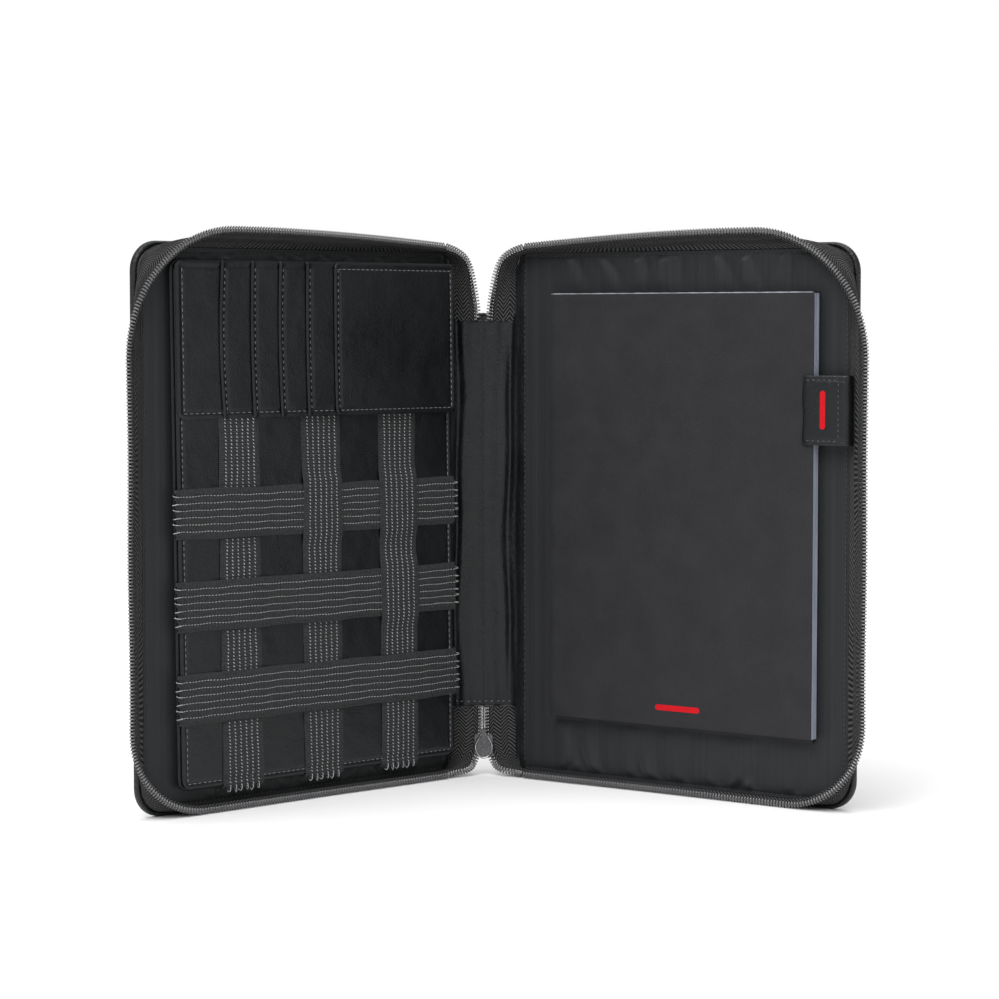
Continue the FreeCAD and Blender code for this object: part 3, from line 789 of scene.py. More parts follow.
@dataclass(frozen=True)
class HerringboneFinish:
    """Zip tape woven in a herringbone."""

    name: str = "zip_tape_weave"
    tone: float = 0.015
    rib: float = 2.0
    panel: float = 3.0

    def build(self) -> bpy.types.Material:
        """Slanting ribs that turn back at each panel of the flat layout.

        Returns:
            The finished material.
        """
        look = Look(self.name, "UV")
        zigzag = look.math("PINGPONG", look.axis("Y"), self.panel * MM)
        slope = look.math("ADD", look.axis("X"), look.math("MULTIPLY", zigzag, 1.3))
        rib = look.spread(look.wave(slope, self.rib), 0.5, 1.0)
        fuzz = look.noise(900.0, 2.0)
        mixed = look.mix(rib, fuzz, 0.75)
        colour = look.ramp(mixed, (0.3, grey(self.tone * 0.2)), (0.85, grey(self.tone * 5.0)))
        look.bump((rib, 0.0005), (fuzz, 0.00008))
        return look.surface(Base_Color=colour, Roughness=0.6, Sheen_Weight=0.03, Specular_IOR_Level=0.2)


@dataclass(frozen=True)
class ElasticFinish:
    """Ribbed elastic: fine cross ribs between the sewn rows."""

    name: str = "ribbed_elastic"
    tone: float = 0.027
    rib: float = 0.95
    yarn: float = 0.62

    def build(self) -> bpy.types.Material:
        """Cross ribs along the flat length, fuzzy yarn and a paler worn bloom.

        Returns:
            The finished material.
        """
        look = Look(self.name, "UV")
        cross, yarn = look.wave(look.axis("Y"), self.rib), look.wave(look.axis("X"), self.yarn)
        woven = look.math("ADD", cross, look.math("MULTIPLY", yarn, 0.6))
        rib = look.spread(look.math("MULTIPLY", woven, 0.62), 0.5, 1.0)
        fuzz = look.noise(700.0, 3.0)
        mixed = look.mix(rib, fuzz, 0.5)
        colour = look.ramp(mixed, (0.25, grey(self.tone * 0.3, 0.04)),
                           (0.75, grey(self.tone * 1.9, 0.04)))
        look.bump((rib, 0.0002), (fuzz, 0.00012))
        return look.surface(Base_Color=colour, Roughness=0.75, Sheen_Weight=0.06, Sheen_Roughness=0.5,
                            Specular_IOR_Level=0.15)


@dataclass(frozen=True)
class SpeckledFinish:
    """A smooth material with a fine speckle: card, board, thread, coil plastic, print or floor."""

    name: str
    colour: tuple
    roughness: float = 0.6
    metallic: float = 0.0
    speckle: float = 900.0
    contrast: float = 0.15
    depth: float = 0.00003
    sheen: float = 0.0
    specular: float = 0.5

    def build(self) -> bpy.types.Material:
        """Fine and broad noise in colour, roughness and height.

        Returns:
            The finished material.
        """
        look = Look(self.name)
        fine = look.noise(self.speckle, 3.0)
        broad = look.noise(self.speckle / 22.0, 2.0)
        mixed = look.mix(fine, broad, 0.6)
        low = tuple(c * (1 - self.contrast) for c in self.colour)
        high = tuple(min(1.0, c * (1 + self.contrast)) for c in self.colour)
        look.bump((fine, self.depth), (broad, self.depth * 2))
        return look.surface(Base_Color=look.ramp(mixed, (0.35, low), (0.65, high)), Metallic=self.metallic,
                            Roughness=look.spread(mixed, self.roughness - 0.08, self.roughness + 0.08),
                            Sheen_Weight=self.sheen, Specular_IOR_Level=self.specular)


@dataclass(frozen=True)
class PaperEdgeFinish:
    """The cut edge of a glued block of sheets."""

    name: str = "sheet_edges"
    sheet: float = 0.32

    def build(self) -> bpy.types.Material:
        """Fine lines, one for a few sheets, that read the flat layout across the block.

        Returns:
            The finished material.
        """
        look = Look(self.name, "UV")
        layers = look.noise(1000.0 / self.sheet, 2.0, (1.0, 0.004, 1.0))
        soft = look.noise(40.0, 2.0)
        mixed = look.mix(layers, soft, 0.75)
        colour = look.ramp(mixed, (0.3, (0.16, 0.18, 0.235)), (0.7, (0.36, 0.39, 0.47)))
        look.bump((layers, 0.00012))
        return look.surface(Base_Color=colour, Roughness=0.7, Specular_IOR_Level=0.3)


def thread_finish(name: str, colour: tuple, roughness: float = 0.6, sheen: float = 0.2) -> SpeckledFinish:
    """The finish of a sewing thread, which differs from the others in its colour."""
    return SpeckledFinish(name, colour, roughness, 0.0, 3000.0, 0.3, 0.00002, sheen)


class Finish(Enum):
    """The finishes of the case."""

    LEATHER = LeatherFinish()
    SPINE_LEATHER = LeatherFinish("spine_leather", 0.0055, 0.40, 1100.0, 0.00018)
    OUTER_LEATHER = LeatherFinish("outer_leather", 0.0060, 0.44, 1000.0, 0.00022)
    LINING = ClothFinish()
    LINING_NODE = SpeckledFinish("pocket_cloth", (0.02, 0.02, 0.021), 0.7, 0.0, 2500.0, 0.4, 0.0001, 0.1, 0.3)
    TAPE = HerringboneFinish()
    ELASTIC = ElasticFinish()
    COIL = SpeckledFinish("coil_nylon", (0.11, 0.11, 0.115), 0.2, 0.0, 500.0, 0.2, 0.00001, 0.0, 1.0)
    ZIP_THREAD = thread_finish("zip_thread", (0.55, 0.55, 0.56), 0.65)
    BAND_THREAD = thread_finish("band_thread", (0.36, 0.36, 0.375), 0.65)
    DARK_THREAD = thread_finish("dark_thread", (0.03, 0.031, 0.033))
    MID_THREAD = thread_finish("mid_thread", (0.075, 0.077, 0.082), sheen=0.1)
    GREY_THREAD = thread_finish("grey_thread", (0.15, 0.155, 0.165))
    CARD = SpeckledFinish("matte_card", (0.021, 0.021, 0.0235), 0.6, 0.0, 1500.0, 0.2, 0.00004, 0.0, 0.22)
    # Pale grey for the strip along the pad's top fold: mostly a painted highlight where the fold catches the
    # light, partly wear of the card.
    CARD_FOLD = SpeckledFinish("card_fold_wear_and_painted_highlight", (0.28, 0.29, 0.32), 0.7, 0.0, 1500.0, 0.3, 0.00004)
    PAPER = PaperEdgeFinish()
    BACKING = SpeckledFinish("backing_board", (0.22, 0.2, 0.17), 0.85, 0.0, 700.0, 0.2, 0.00008)
    BOARD = SpeckledFinish("grey_board", (0.18, 0.17, 0.155), 0.85, 0.0, 600.0, 0.2, 0.00008)
    FOAM = SpeckledFinish("dark_foam", (0.02, 0.02, 0.021), 0.9, 0.0, 1200.0, 0.3, 0.0002)
    GUNMETAL = SpeckledFinish("gunmetal", (0.14, 0.14, 0.145), 0.33, 0.95, 900.0, 0.35, 0.00003)
    BRIGHT_METAL = SpeckledFinish("polished_rim", (0.6, 0.6, 0.61), 0.18, 1.0, 900.0, 0.1, 0.00001)
    RED_PRINT = SpeckledFinish("red_print", (0.52, 0.005, 0.012), 0.6, 0.0, 1500.0, 0.12, 0.00003, 0.0, 0.15)

    @property
    def material(self) -> bpy.types.Material:
        """This finish's material, built at its first use."""
        known = bpy.data.materials.get(self.value.name)
        return known if known else self.value.build()


# ---------------------------------------------------------------- covers and spine


@dataclass
class Cover:
    """One leather cover with its half of the spine, its rolled edge, inner leather and lining."""

    leaf: Leaf
    width: float = 196.0
    height: float = 266.0
    skin: float = 1.2
    outer_radius: float = 14.0
    inner_radius: float = 9.0
    start: float = 1.5
    notch_low: float = 34.5
    notch_high: float = 232.4
    roll_inset: float = 1.05
    roll_radius: float = 1.08
    roll_depth: float = 1.45
    edge_seam: float = 4.6
    inner_start: float = 4.0
    inner_inset: float = 3.2
    inner_radius_drop: float = 6.0
    inner_rise: float = 1.9
    inner_thickness: float = 0.75
    seam: float = 10.3
    front: float = 2.8
    lining_inset: float = 3.0
    lining_seam: float = 1.6
    lining_radius: float = 11.0
    lining_thickness: float = 0.35
    pressed: float = 0.06
    gathers: float = 2.2
    blend_reach: float = 5.0

    def name(self, piece: str) -> str:
        """This cover's name for a piece."""
        return f"{self.leaf.name}_{piece}"

    def span(self, s: np.ndarray) -> tuple:
        """Lowest and highest z of the cover's leather at a distance s from the fold.

        Args:
            s: Distance outwards from the fold.

        Returns:
            The lowest and the highest z at each place.
        """
        out = np.clip(self.outer_radius - (self.width - s), 0, self.outer_radius)
        near = np.clip(self.inner_radius - (s - self.start), 0, self.inner_radius)
        cut = (self.outer_radius - np.sqrt(np.maximum(self.outer_radius ** 2 - out ** 2, 0))
               + self.inner_radius - np.sqrt(np.maximum(self.inner_radius ** 2 - near ** 2, 0)))
        on_cover = s >= self.start
        return (np.where(on_cover, cut, self.notch_low),
                np.where(on_cover, self.height - cut, self.notch_high))

    def blended(self, obj: bpy.types.Object) -> None:
        """Bake a piece's placement into its mesh.

        Args:
            obj: The piece.
        """
        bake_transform(obj)

    def build_outer(self) -> None:
        """The outer leather, from the middle of the spine over the fold to the cover's edge."""
        across = np.concatenate([steps(-self.leaf.fold_x, -6, 1.5), steps(-5.2, 1.4, 0.6),
                                 [self.start], self.start + self.inner_radius * (1 - np.cos(
                                     np.linspace(0.25, math.pi / 2, 9))),
                                 steps(14, self.width - self.outer_radius, 4),
                                 self.width - self.outer_radius * (1 - np.sin(
                                     np.linspace(0.12, math.pi / 2, 14)))])
        along = edged(0, 1, 0.014, 0.03, 0.005)

        def shape(s: np.ndarray, t: np.ndarray) -> tuple:
            """Round the corners and let the leather wave a little.

            Args:
                s: Place across.
                t: Place along, from 0 to 1.

            Returns:
                World x, y and z.
            """
            low, high = self.span(s)
            z = low + t * (high - low)
            rim = np.minimum.reduce([z - low, high - z, self.width - s])
            n = ripple(s, z, 3 + self.leaf.side, 6, 0.035) * 0.28 * ease(rim, 2, 20)
            n = n + 0.35 * hump(rim, 4.6, 0.8) * (s > self.start)
            return self.leaf.round_fold(s, n, z)

        obj = shaped_grid(self.name("outer_leather"), across, along, shape, self.leaf.side < 0)
        thicken(obj, self.skin, 0.3)
        dress(smooth(obj), Finish.OUTER_LEATHER.material)
        self.blended(obj)
        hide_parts(self.name("cover_skin"), "spine_skin")

    def edge_path(self, inset: float, end: float = 0.0) -> np.ndarray:
        """(u, z) points round the cover, from the spine's lower end to its upper end.

        Args:
            inset: How far inside the cover's edge.
            end: How far the path stops short of the spine, or runs past it if negative.

        Returns:
            Rows of (u, z).
        """
        low, high = self.start + inset, self.width - inset
        return outline([(low, self.notch_low - end), (low, inset), (high, inset),
                        (high, self.height - inset), (low, self.height - inset),
                        (low, self.notch_high + end)],
                       [self.inner_radius - inset, self.outer_radius - inset,
                        self.outer_radius - inset, self.inner_radius - inset])

    def build_roll(self) -> None:
        """The leather rolled round the cover's edge."""
        path = self.edge_path(self.roll_inset)
        x, y, z = self.leaf.world(path[:, 0], 0.2 + 0.1 * np.sin(path[:, 0] * 0.2), path[:, 1])
        radii = np.full(len(path), self.roll_radius)
        radii[[0, -1]] = 0.02
        obj = tube(self.name("edge_roll"), np.stack([x, y, z], 1), radii, 12,
                   self.roll_depth, tuple(self.leaf.inward))
        fasten(smooth(obj, 70), self.leaf.body, Finish.OUTER_LEATHER, "leather", self.name("edge_piping"))

    def build_edge_stitches(self) -> None:
        """The seam that holds the zip tape, seen on the outside round the cover's edge."""
        path = self.edge_path(self.edge_seam, -4.0)
        x, y, z = self.leaf.world(path[:, 0], -self.skin - 0.02, path[:, 1])
        row = Stitch(2.3, 3.1, 0.22).along(self.name("edge_stitches"), np.stack([x, y, z], 1),
                                           -self.leaf.inward, seed=7)
        fasten(row, self.leaf.body, Finish.DARK_THREAD, "leather")

    def inner_height(self, s: np.ndarray, z: np.ndarray) -> np.ndarray:
        """How far the inner leather stands up, with its soft vertical creases.

        Args:
            s: Distance outwards from the fold, negative on the spine.
            z: Height above the floor.

        Returns:
            The height at each place.
        """
        middle = (ease(z, self.notch_low, self.notch_low + 45)
                  * (1 - ease(z, self.notch_high - 40, self.notch_high)))
        wander = 1.3 * np.sin(z * 0.031 + self.leaf.side) + 0.7 * np.sin(z * 0.083 + 1)
        crease = (0.8 * hump(s, -4.5 + wander, 2.2) - 0.5 * hump(s, -1.2 + wander, 1.5)
                  + 0.55 * hump(s, 1.4 + 0.6 * wander, 2.2) - 0.4 * hump(s, 4.6 + 0.4 * wander, 1.6))
        ends = 0.4 * np.sin(s * 0.7 + self.leaf.side + 0.03 * z) * (hump(z, self.notch_low, 26)
                                                                   + hump(z, self.notch_high, 22))
        bulge = 0.9 * hump(s, -11.5, 4.2) * middle
        return (self.inner_rise + bulge + 0.95 * ease(s, -2, 6) + crease * (0.45 + 0.55 * middle)
                + ends * (s < 2))

    def build_inner_leather(self) -> None:
        """The leather over the spine and beside it, up to the seam with the lining."""
        across = np.concatenate([steps(-self.leaf.fold_x, self.inner_start - 0.1, 0.55),
                                 [self.inner_start + 0.1],
                                 steps(self.inner_start + 0.6, self.seam + 0.5, 0.55)])
        along = edged(0, 1, 0.008, 0.03, 0.004)

        def shape(s: np.ndarray, t: np.ndarray) -> tuple:
            """Follow the spine and then the cover's full height.

            Args:
                s: Place across.
                t: Place along, from 0 to 1.

            Returns:
                World x, y and z.
            """
            on_cover = s > self.inner_start
            round_off = self.inner_radius_drop * (1 - ease(s, self.inner_start, 8.5)) ** 2
            low = np.where(on_cover, self.inner_inset + round_off, self.notch_low)
            high = np.where(on_cover, self.height - self.inner_inset - round_off, self.notch_high)
            z = low + t * (high - low)
            rim = np.minimum(z - low, high - z)
            n = self.inner_height(s, z) - 0.3 * hump(rim, 2.6, 0.7) - 0.5 * hump(rim, 0, 0.7)
            n = n - 0.5 * hump(s, self.seam + 0.5, 0.6)
            return self.leaf.round_fold(s, n, z)

        obj = shaped_grid(self.name("spine_side_leather"), across, along, shape, self.leaf.side < 0)
        thicken(obj, self.inner_thickness, 0.2)
        dress(smooth(obj), Finish.SPINE_LEATHER.material)
        self.blended(obj)
        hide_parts(self.name("hinge_facing"), "spine_lining")

    def build_spine_stitches(self) -> None:
        """The seams across the ends of the spine and the seam beside the lining."""
        rows = []
        for z in (self.notch_low + 2.6, self.notch_high - 2.6):
            s = steps(-self.leaf.fold_x, 0.5, 0.5)
            n = self.inner_height(s, z + 0 * s) - 0.28
            line = np.stack(self.leaf.round_fold(s, n, z + 0 * s), 1)
            rows.append(Stitch(2.0, 2.7, 0.19).along("end_row", line, (0, -1, 0), 0.12, 3))
        ends = joined(self.name("spine_end_stitches"), rows)
        dress(ends, Finish.GREY_THREAD.material)
        self.blended(ends)
        z = steps(7, self.height - 7, 2)
        seam = np.stack(self.leaf.world(self.seam - 0.8 + 0 * z, self.front + 0.18, z), 1)
        side = Stitch(2.0, 2.8, 0.18).along(self.name("lining_seam_stitches"), seam, self.leaf.inward,
                                            seed=5)
        fasten(side, self.leaf.body, Finish.DARK_THREAD, "leather")

    def build_end_rolls(self) -> None:
        """The spine leather's turned edges, a little fuller than the sheet, at its top and bottom."""
        rolls = []
        for z, way in ((self.notch_low - 0.2, -1), (self.notch_high + 0.6, 1)):
            s = steps(-self.leaf.fold_x, 2.6, 0.8)
            n = self.inner_height(s, z + 0 * s) - 0.45
            wave = 0.3 * np.sin(s * 0.6) * way
            radii = np.full(len(s), 0.72)
            radii[-1] = 0.03
            rolls.append(tube("roll", np.stack(self.leaf.round_fold(s, n, z + wave), 1), radii, 10, 1.0,
                              (0.0, 1.0, 0.0)))
        obj = joined(self.name("spine_end_rolls"), rolls)
        dress(smooth(obj, 70), Finish.SPINE_LEATHER.material)
        self.blended(obj)

    def lining_height(self, u: np.ndarray, z: np.ndarray) -> np.ndarray:
        """The lining's height with gathers that run in from the top and bottom seams.

        Args:
            u: Distance outwards from the fold.
            z: Height above the floor.

        Returns:
            The height at each place.
        """
        draw = np.random.default_rng(20 + self.leaf.side)
        low, high = self.lining_inset, self.height - self.lining_inset
        total = 0.35 * (ripple(u, z, 31 + self.leaf.side, 6, 0.06) + 1)
        for edge, way, count in ((high, -1, 8), (low, 1, 10)):
            for k in range(count):
                place = 22 + (k + draw.uniform(0.1, 0.9)) * (self.width - 52) / count
                lean, reach = draw.uniform(-0.55, 0.55), draw.uniform(11, 24)
                depth = (z - edge) * way
                swell = ease(depth, 0.5, 4) * np.exp(-np.maximum(depth, 0) / reach)
                centre = place + lean * depth + 1.5 * np.sin(depth * 0.12 + k)
                width = 2.0 + 0.16 * np.maximum(depth, 0)
                total = total + self.gathers * draw.uniform(0.6, 1.2) * hump(u, centre, width) * swell
                total = total - 0.45 * self.gathers * hump(u, centre + 1.9 * width, width * 0.8) * swell
        return np.clip(total, -0.7, 3.2) * (1 - 0.93 * self.covered(u, z))

    def covered(self, u: np.ndarray, z: np.ndarray) -> np.ndarray:
        """How much the lining is pressed flat by the pad that stands on the right cover.

        Args:
            u: Distance outwards from the fold.
            z: Height above the floor.

        Returns:
            From 0 where it is free to 1 where it is pressed.
        """
        if self.leaf.side < 0:
            return 0 * u
        return (ease(u, 22, 29) * (1 - ease(u, 178, 184)) * ease(z, 26, 32) * (1 - ease(z, 243.5, 250)))

    def build_lining(self) -> None:
        """The woven lining, sewn in round its edge."""
        low, high = self.lining_inset, self.height - self.lining_inset
        right = self.width - self.lining_inset
        across = np.concatenate([steps(self.seam - 0.4, 16, 0.8)[:-1], steps(16, 182, 1.3)[:-1],
                                 steps(182, right, 0.55)])
        along = edged(0, 1, 0.0062, 0.045, 0.0022)

        def shape(u: np.ndarray, t: np.ndarray) -> tuple:
            """Round the outer corners, pull in at the seams and gather between them.

            Args:
                u: Distance outwards from the fold.
                t: Place along, from 0 to 1.

            Returns:
                The u, n and z of each place.
            """
            radius = self.lining_radius
            cut = np.clip(radius - (right - u), 0, radius)
            drop = radius - np.sqrt(np.maximum(radius ** 2 - cut ** 2, 0))
            z = low + drop + t * (high - low - 2 * drop)
            rim = np.minimum.reduce([z - low - drop, high - drop - z, right - u + 0 * z])
            rise = self.lining_height(u, z) * ease(rim, 0.3, 6) * ease(u, self.seam, self.seam + 5)
            n = self.front - 0.1 + rise - 0.35 * hump(rim, self.lining_seam, 0.5) + 0.25 * hump(rim, 0.3, 0.6)
            return u, n, z

        obj = self.leaf.sheet(self.name("cloth_lining"), across, along, shape)
        thicken(obj, self.lining_thickness)
        fasten(smooth(obj, 60), self.leaf.body, Finish.LINING, "lining_cloth", self.name("lining"))
        self.name("cover_board")
        if self.leaf.side > 0:
            base = np.array(self.leaf.world(0, self.front - 0.1, 0)) * MM
            tuple(self.leaf.inward.tolist())
            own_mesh(obj)
        inset = self.lining_seam
        path = outline([(14, low + inset), (right - inset, low + inset), (right - inset, high - inset),
                        (14, high - inset)], [9.5, 9.5])
        line = np.stack(self.leaf.world(path[:, 0], self.front + 0.05, path[:, 1]), 1)
        row = Stitch(1.9, 2.6, 0.17).along(self.name("lining_edge_stitches"), line, self.leaf.inward,
                                           seed=9)
        fasten(row, self.leaf.body, Finish.DARK_THREAD, "lining_cloth")

    def build(self) -> None:
        """Make all of this cover's soft parts and dress the board inside it."""
        self.build_outer()
        self.build_roll()
        self.build_edge_stitches()
        self.build_inner_leather()
        self.build_spine_stitches()
        self.build_end_rolls()
        self.build_lining()
        dress(frame["nodes"][self.name("cover_board")], Finish.BOARD.material)


# ---------------------------------------------------------------- the zip


@dataclass
class ZipSide:
    """One side of the zip: the tape that forms the gusset, its coil and the thread that sews it."""

    leaf: Leaf
    foot_inset: float = 2.5
    foot_rise: float = 2.6
    rim_rise: float = 10.2
    tips_u: float = 206.8
    top: float = 273.2
    peak: float = 135.0
    droop: float = 5.4
    bottom: float = 0.6
    low_radius: float = 42.0
    high_radius: float = 62.0
    start: float = 14.0
    pitch: float = 1.6
    coil_width: float = 2.5
    coil_height: float = 1.5
    coil_lift: float = 0.3
    wire: float = 0.35
    sewing_insets: tuple = (2.0, 2.75)
    seam_margin: float = 1.1
    shoulder_share: float = 0.76
    tape_width: float = 14.0
    tape_thickness: float = 0.5
    foot_radius: float = 11.5
    cover_width: float = 196.0
    cover_height: float = 266.0
    bend_from: float = 5.0
    bend_to: float = 17.5
    end_points: int = 160

    def coil_pattern(self) -> bpy.types.Object:
        """Model one turn of the coil, flattened, with X along the zip and Y to its tips.

        Returns:
            The turn, about the origin.
        """
        turn = np.linspace(0, math.tau, 9)
        path = np.stack([0.03 * np.sin(turn),
                         -np.cos(turn) * self.coil_width / 2, np.sin(turn) * self.coil_height / 2], 1)
        return tube("coil_turn", path, np.full(9, self.wire), 5, 1.0, (1.0, 0.0, 0.0))

    def run(self, name: str, rim: np.ndarray, foot: np.ndarray, up: np.ndarray,
            belly: float, sewing_finish: Finish = Finish.ZIP_THREAD) -> list:
        """Build a stretch of tape, coil and thread.

        Args:
            name: What the stretch is called.
            rim: Rows of points along the coil's tips, in world millimetres.
            foot: The matching points where the tape is sewn to the cover.
            up: The direction that the coil faces at each point.
            belly: How far the tape bulges outwards between its edges.
            sewing_finish: The thread that sews the coil.

        Returns:
            The tape, the coil and the thread.
        """
        run = run_of(rim)
        along = steps(0, run[-1], 1.0)
        rim, foot, up = (at_run(along, run, rows) for rows in (rim, foot, up))
        tangent = unit(np.gradient(rim, axis=0))
        face = unit(up - tangent * np.sum(up * tangent, axis=1)[:, None])
        out = np.cross(tangent, face) * self.leaf.side
        bend = self.shoulder_share
        shares = np.array([0, 0.1, 0.22, 0.34, 0.46, 0.58, 0.68, bend, 0.83, 0.9, 1.0])
        shoulder = rim - out * (self.coil_width + self.seam_margin)

        def shape(a: np.ndarray, b: np.ndarray) -> tuple:
            """Rise from the foot, bulge, and turn out flat under the coil.

            Args:
                a: Place across.
                b: Place along.

            Returns:
                World x, y and z.
            """
            i = np.rint(b).astype(int)
            v = np.clip(a / bend, 0, 1)
            flat = np.clip((a - bend) / (1 - bend), 0, 1)
            lift = np.sin(v * math.pi) * belly * (1 + 0.25 * np.sin(along[i] * 0.11))
            spot = (foot[i] + (shoulder[i] - foot[i]) * v[:, None]
                    + out[i] * lift[:, None] + out[i] * (flat * (self.coil_width - 0.1))[:, None])
            return spot[:, 0], spot[:, 1], spot[:, 2]

        tape = shaped_grid(f"{name}_tape", shares, np.arange(len(along), dtype=float), shape,
                           self.leaf.side > 0)
        self.lay_out_weave(tape, shares, along)
        thicken(tape, self.tape_thickness, 0.0, 0.0)
        dress(smooth(tape, 60), Finish.TAPE.material)
        count = int(run[-1] / self.pitch)
        at = (np.arange(count) + (0.25 if self.leaf.side < 0 else 0.75)) * self.pitch
        way, tip, above = (at_run(at, along, rows) for rows in (tangent, out, face))
        centre = (at_run(at, along, rim) - tip * self.coil_width / 2
                  + above * (self.coil_height / 2 + self.coil_lift))
        coil = repeated(f"{name}_coil", self.coil_pattern(), centre * MM, np.stack([way, tip, above], 2))
        dress(coil, Finish.COIL.material)
        sewing = []
        for inset in self.sewing_insets:
            line = rim - out * inset + face * (self.coil_height + self.coil_lift - 0.16 * inset)
            sewing.append(Stitch(0.62, self.pitch, 0.21, 0.0).along("coil_sewing", line, face, seed=11))
        thread = joined(f"{name}_coil_thread", sewing)
        dress(thread, sewing_finish.material)
        return [tape, coil, thread]

    def lay_out_weave(self, tape: bpy.types.Object, shares: np.ndarray, along: np.ndarray) -> None:
        """Write the tape's flat width and length into its UV map.

        Args:
            tape: The tape.
            shares: Where its columns stand, from 0 to 1.
            along: Where its rows stand.
        """
        layer = tape.data.uv_layers["weave"]
        flat = np.zeros(len(layer.data) * 2)
        layer.data.foreach_get("uv", flat)
        rows = flat.reshape(-1, 2)
        width = rows[:, 0] / MM * self.tape_width
        length = along[np.clip(np.rint(rows[:, 1] / MM).astype(int), 0, len(along) - 1)]
        layer.data.foreach_set("uv", (np.stack([length, width], 1) * MM).ravel())

    def leaf_point(self, u: float, n: float, z: float) -> list:
        """One point on the cover as world millimetres."""
        return [float(value) for value in self.leaf.world(u, n, z)]

    def rim_z_sag(self, u: np.ndarray, z: np.ndarray) -> np.ndarray:
        """How far the zip droops towards the spine along the top."""
        away = np.clip((self.peak - u) / (self.peak - self.start), 0, 1)
        return -self.droop * away ** 1.7 * (z > 200)

    def build_main(self) -> None:
        """The long stretch round the cover's three free sides."""
        rim = outline([(self.start, self.bottom), (self.tips_u, self.bottom), (self.tips_u, self.top),
                       (self.start, self.top)], [self.low_radius, self.high_radius], 1.0)
        low = self.foot_inset
        far, high = self.cover_width - low, self.cover_height - low
        foot = outline([(self.start, low), (far, low), (far, high), (self.start, high)],
                       [self.foot_radius, self.foot_radius], 1.0)
        rise = self.rim_rise + 0.35 * np.sin(rim[:, 0] * 0.05 + rim[:, 1] * 0.06)
        sagged = rim[:, 1] + self.rim_z_sag(rim[:, 0], rim[:, 1])
        rim_points = np.stack(self.leaf.world(rim[:, 0], rise, sagged), 1)
        foot_points = np.stack(self.leaf.world(foot[:, 0], self.foot_rise, foot[:, 1]), 1)
        up = np.broadcast_to(self.leaf.inward, rim_points.shape)
        pieces = self.run(f"{self.leaf.name}_zip", rim_points, foot_points, up, 0.9,
                          Finish.DARK_THREAD)
        for piece in pieces:
            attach(piece, self.leaf.body)
        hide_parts(f"{self.leaf.name}_gusset_tape")
        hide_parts(f"{self.leaf.name}_coil_row")

    def build_end(self, name: str, rim: list, foot: list, faces: list) -> list:
        """A short stretch between the cover and the spine, baked in place where it lies.

        Args:
            name: What the stretch is called.
            rim: Points along the tips of the coil.
            foot: Points along the sewn edge.
            faces: Directions that the coil faces.

        Returns:
            The tape, the coil and the thread.
        """
        pieces = self.run(f"{self.leaf.name}_zip_{name}",
                          *(through(points, self.end_points) for points in (rim, foot, faces)), 0.2)
        for piece in pieces:
            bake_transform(piece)
        return pieces

    def build_top(self) -> None:
        """Where the rows curve down and meet under the spine's upper end."""
        top, side = self.top - self.droop, self.leaf.side
        rim = [self.leaf_point(14, 10.2, top), self.leaf_point(6.5, 10.2, top - 2.4),
               self.leaf_point(0.4, 10.1, top - 6.2), self.leaf_point(-4.2, 10.0, top - 13.5),
               [side * 2.9, 65.0, 243.5], [side * 1.9, 65.4, 236.5], [side * 1.5, 66.4, 230.0]]
        foot = [self.leaf_point(14, 2.6, 263.5), self.leaf_point(9.5, 2.6, 263.2),
                self.leaf_point(5.6, 2.5, 260.4), self.leaf_point(3.6, 2.3, 254.5),
                self.leaf_point(3.2, 1.8, 246), self.leaf_point(3.0, 1.2, 238),
                self.leaf_point(2.8, 0.8, 230)]
        face, front = self.leaf.inward, np.array([0.0, -1.0, 0.0])
        faces = [face, face, face, 0.7 * face + 0.3 * front, front, front, front]
        pieces = self.build_end("top", rim, foot, faces)
        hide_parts(f"zip_{self.leaf.name}_top_tape")

    def build_bottom(self) -> None:
        """Where the rows rise to the slider and stay closed above it."""
        side = self.leaf.side
        rim = [self.leaf_point(14, 10.2, self.bottom), self.leaf_point(9.0, 10.0, self.bottom + 0.5),
               [side * 9.4, 58.6, 1.9], [side * 5.0, 62.6, 4.0], [side * 2.5, 65.2, 8.4],
               [side * 0.2, 66.2, 14.0], [side * -0.35, 66.6, 25.0], [side * -0.35, 66.8, 34.6]]
        foot = [self.leaf_point(14, 2.6, 2.5), self.leaf_point(10.4, 2.6, 2.7),
                self.leaf_point(7.0, 2.5, 4.0), self.leaf_point(4.6, 2.4, 7.0),
                self.leaf_point(3.6, 2.2, 11.5), self.leaf_point(3.2, 1.8, 18),
                self.leaf_point(3.0, 1.2, 27), self.leaf_point(2.8, 0.8, 34.6)]
        face, front = self.leaf.inward, np.array([0.0, -1.0, 0.0])
        faces = [face, face, 0.6 * face + 0.4 * front, front, front, front, front, front]
        order = [points[::-1] for points in (rim, foot, faces)]
        pieces = self.build_end("bottom", *order)
        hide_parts(f"zip_{self.leaf.name}_bottom_tape")
        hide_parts(f"zip_{self.leaf.name}_closed_row")

    def build(self) -> None:
        """Make this side's three stretches."""
        self.build_main()
        self.build_top()
        self.build_bottom()


# ---------------------------------------------------------------- organizer


@dataclass(frozen=True)
class Band:
    """One elastic band: which way it runs, where its middle is and which crossings it passes over."""

    name: str
    upright: bool
    middle: float
    start: float
    end: float
    over: tuple = ()
    width: float = 24.0
    base: float = 9.95
    hop: float = 1.15
    tuck: float = 3.6
    thickness: float = 0.85


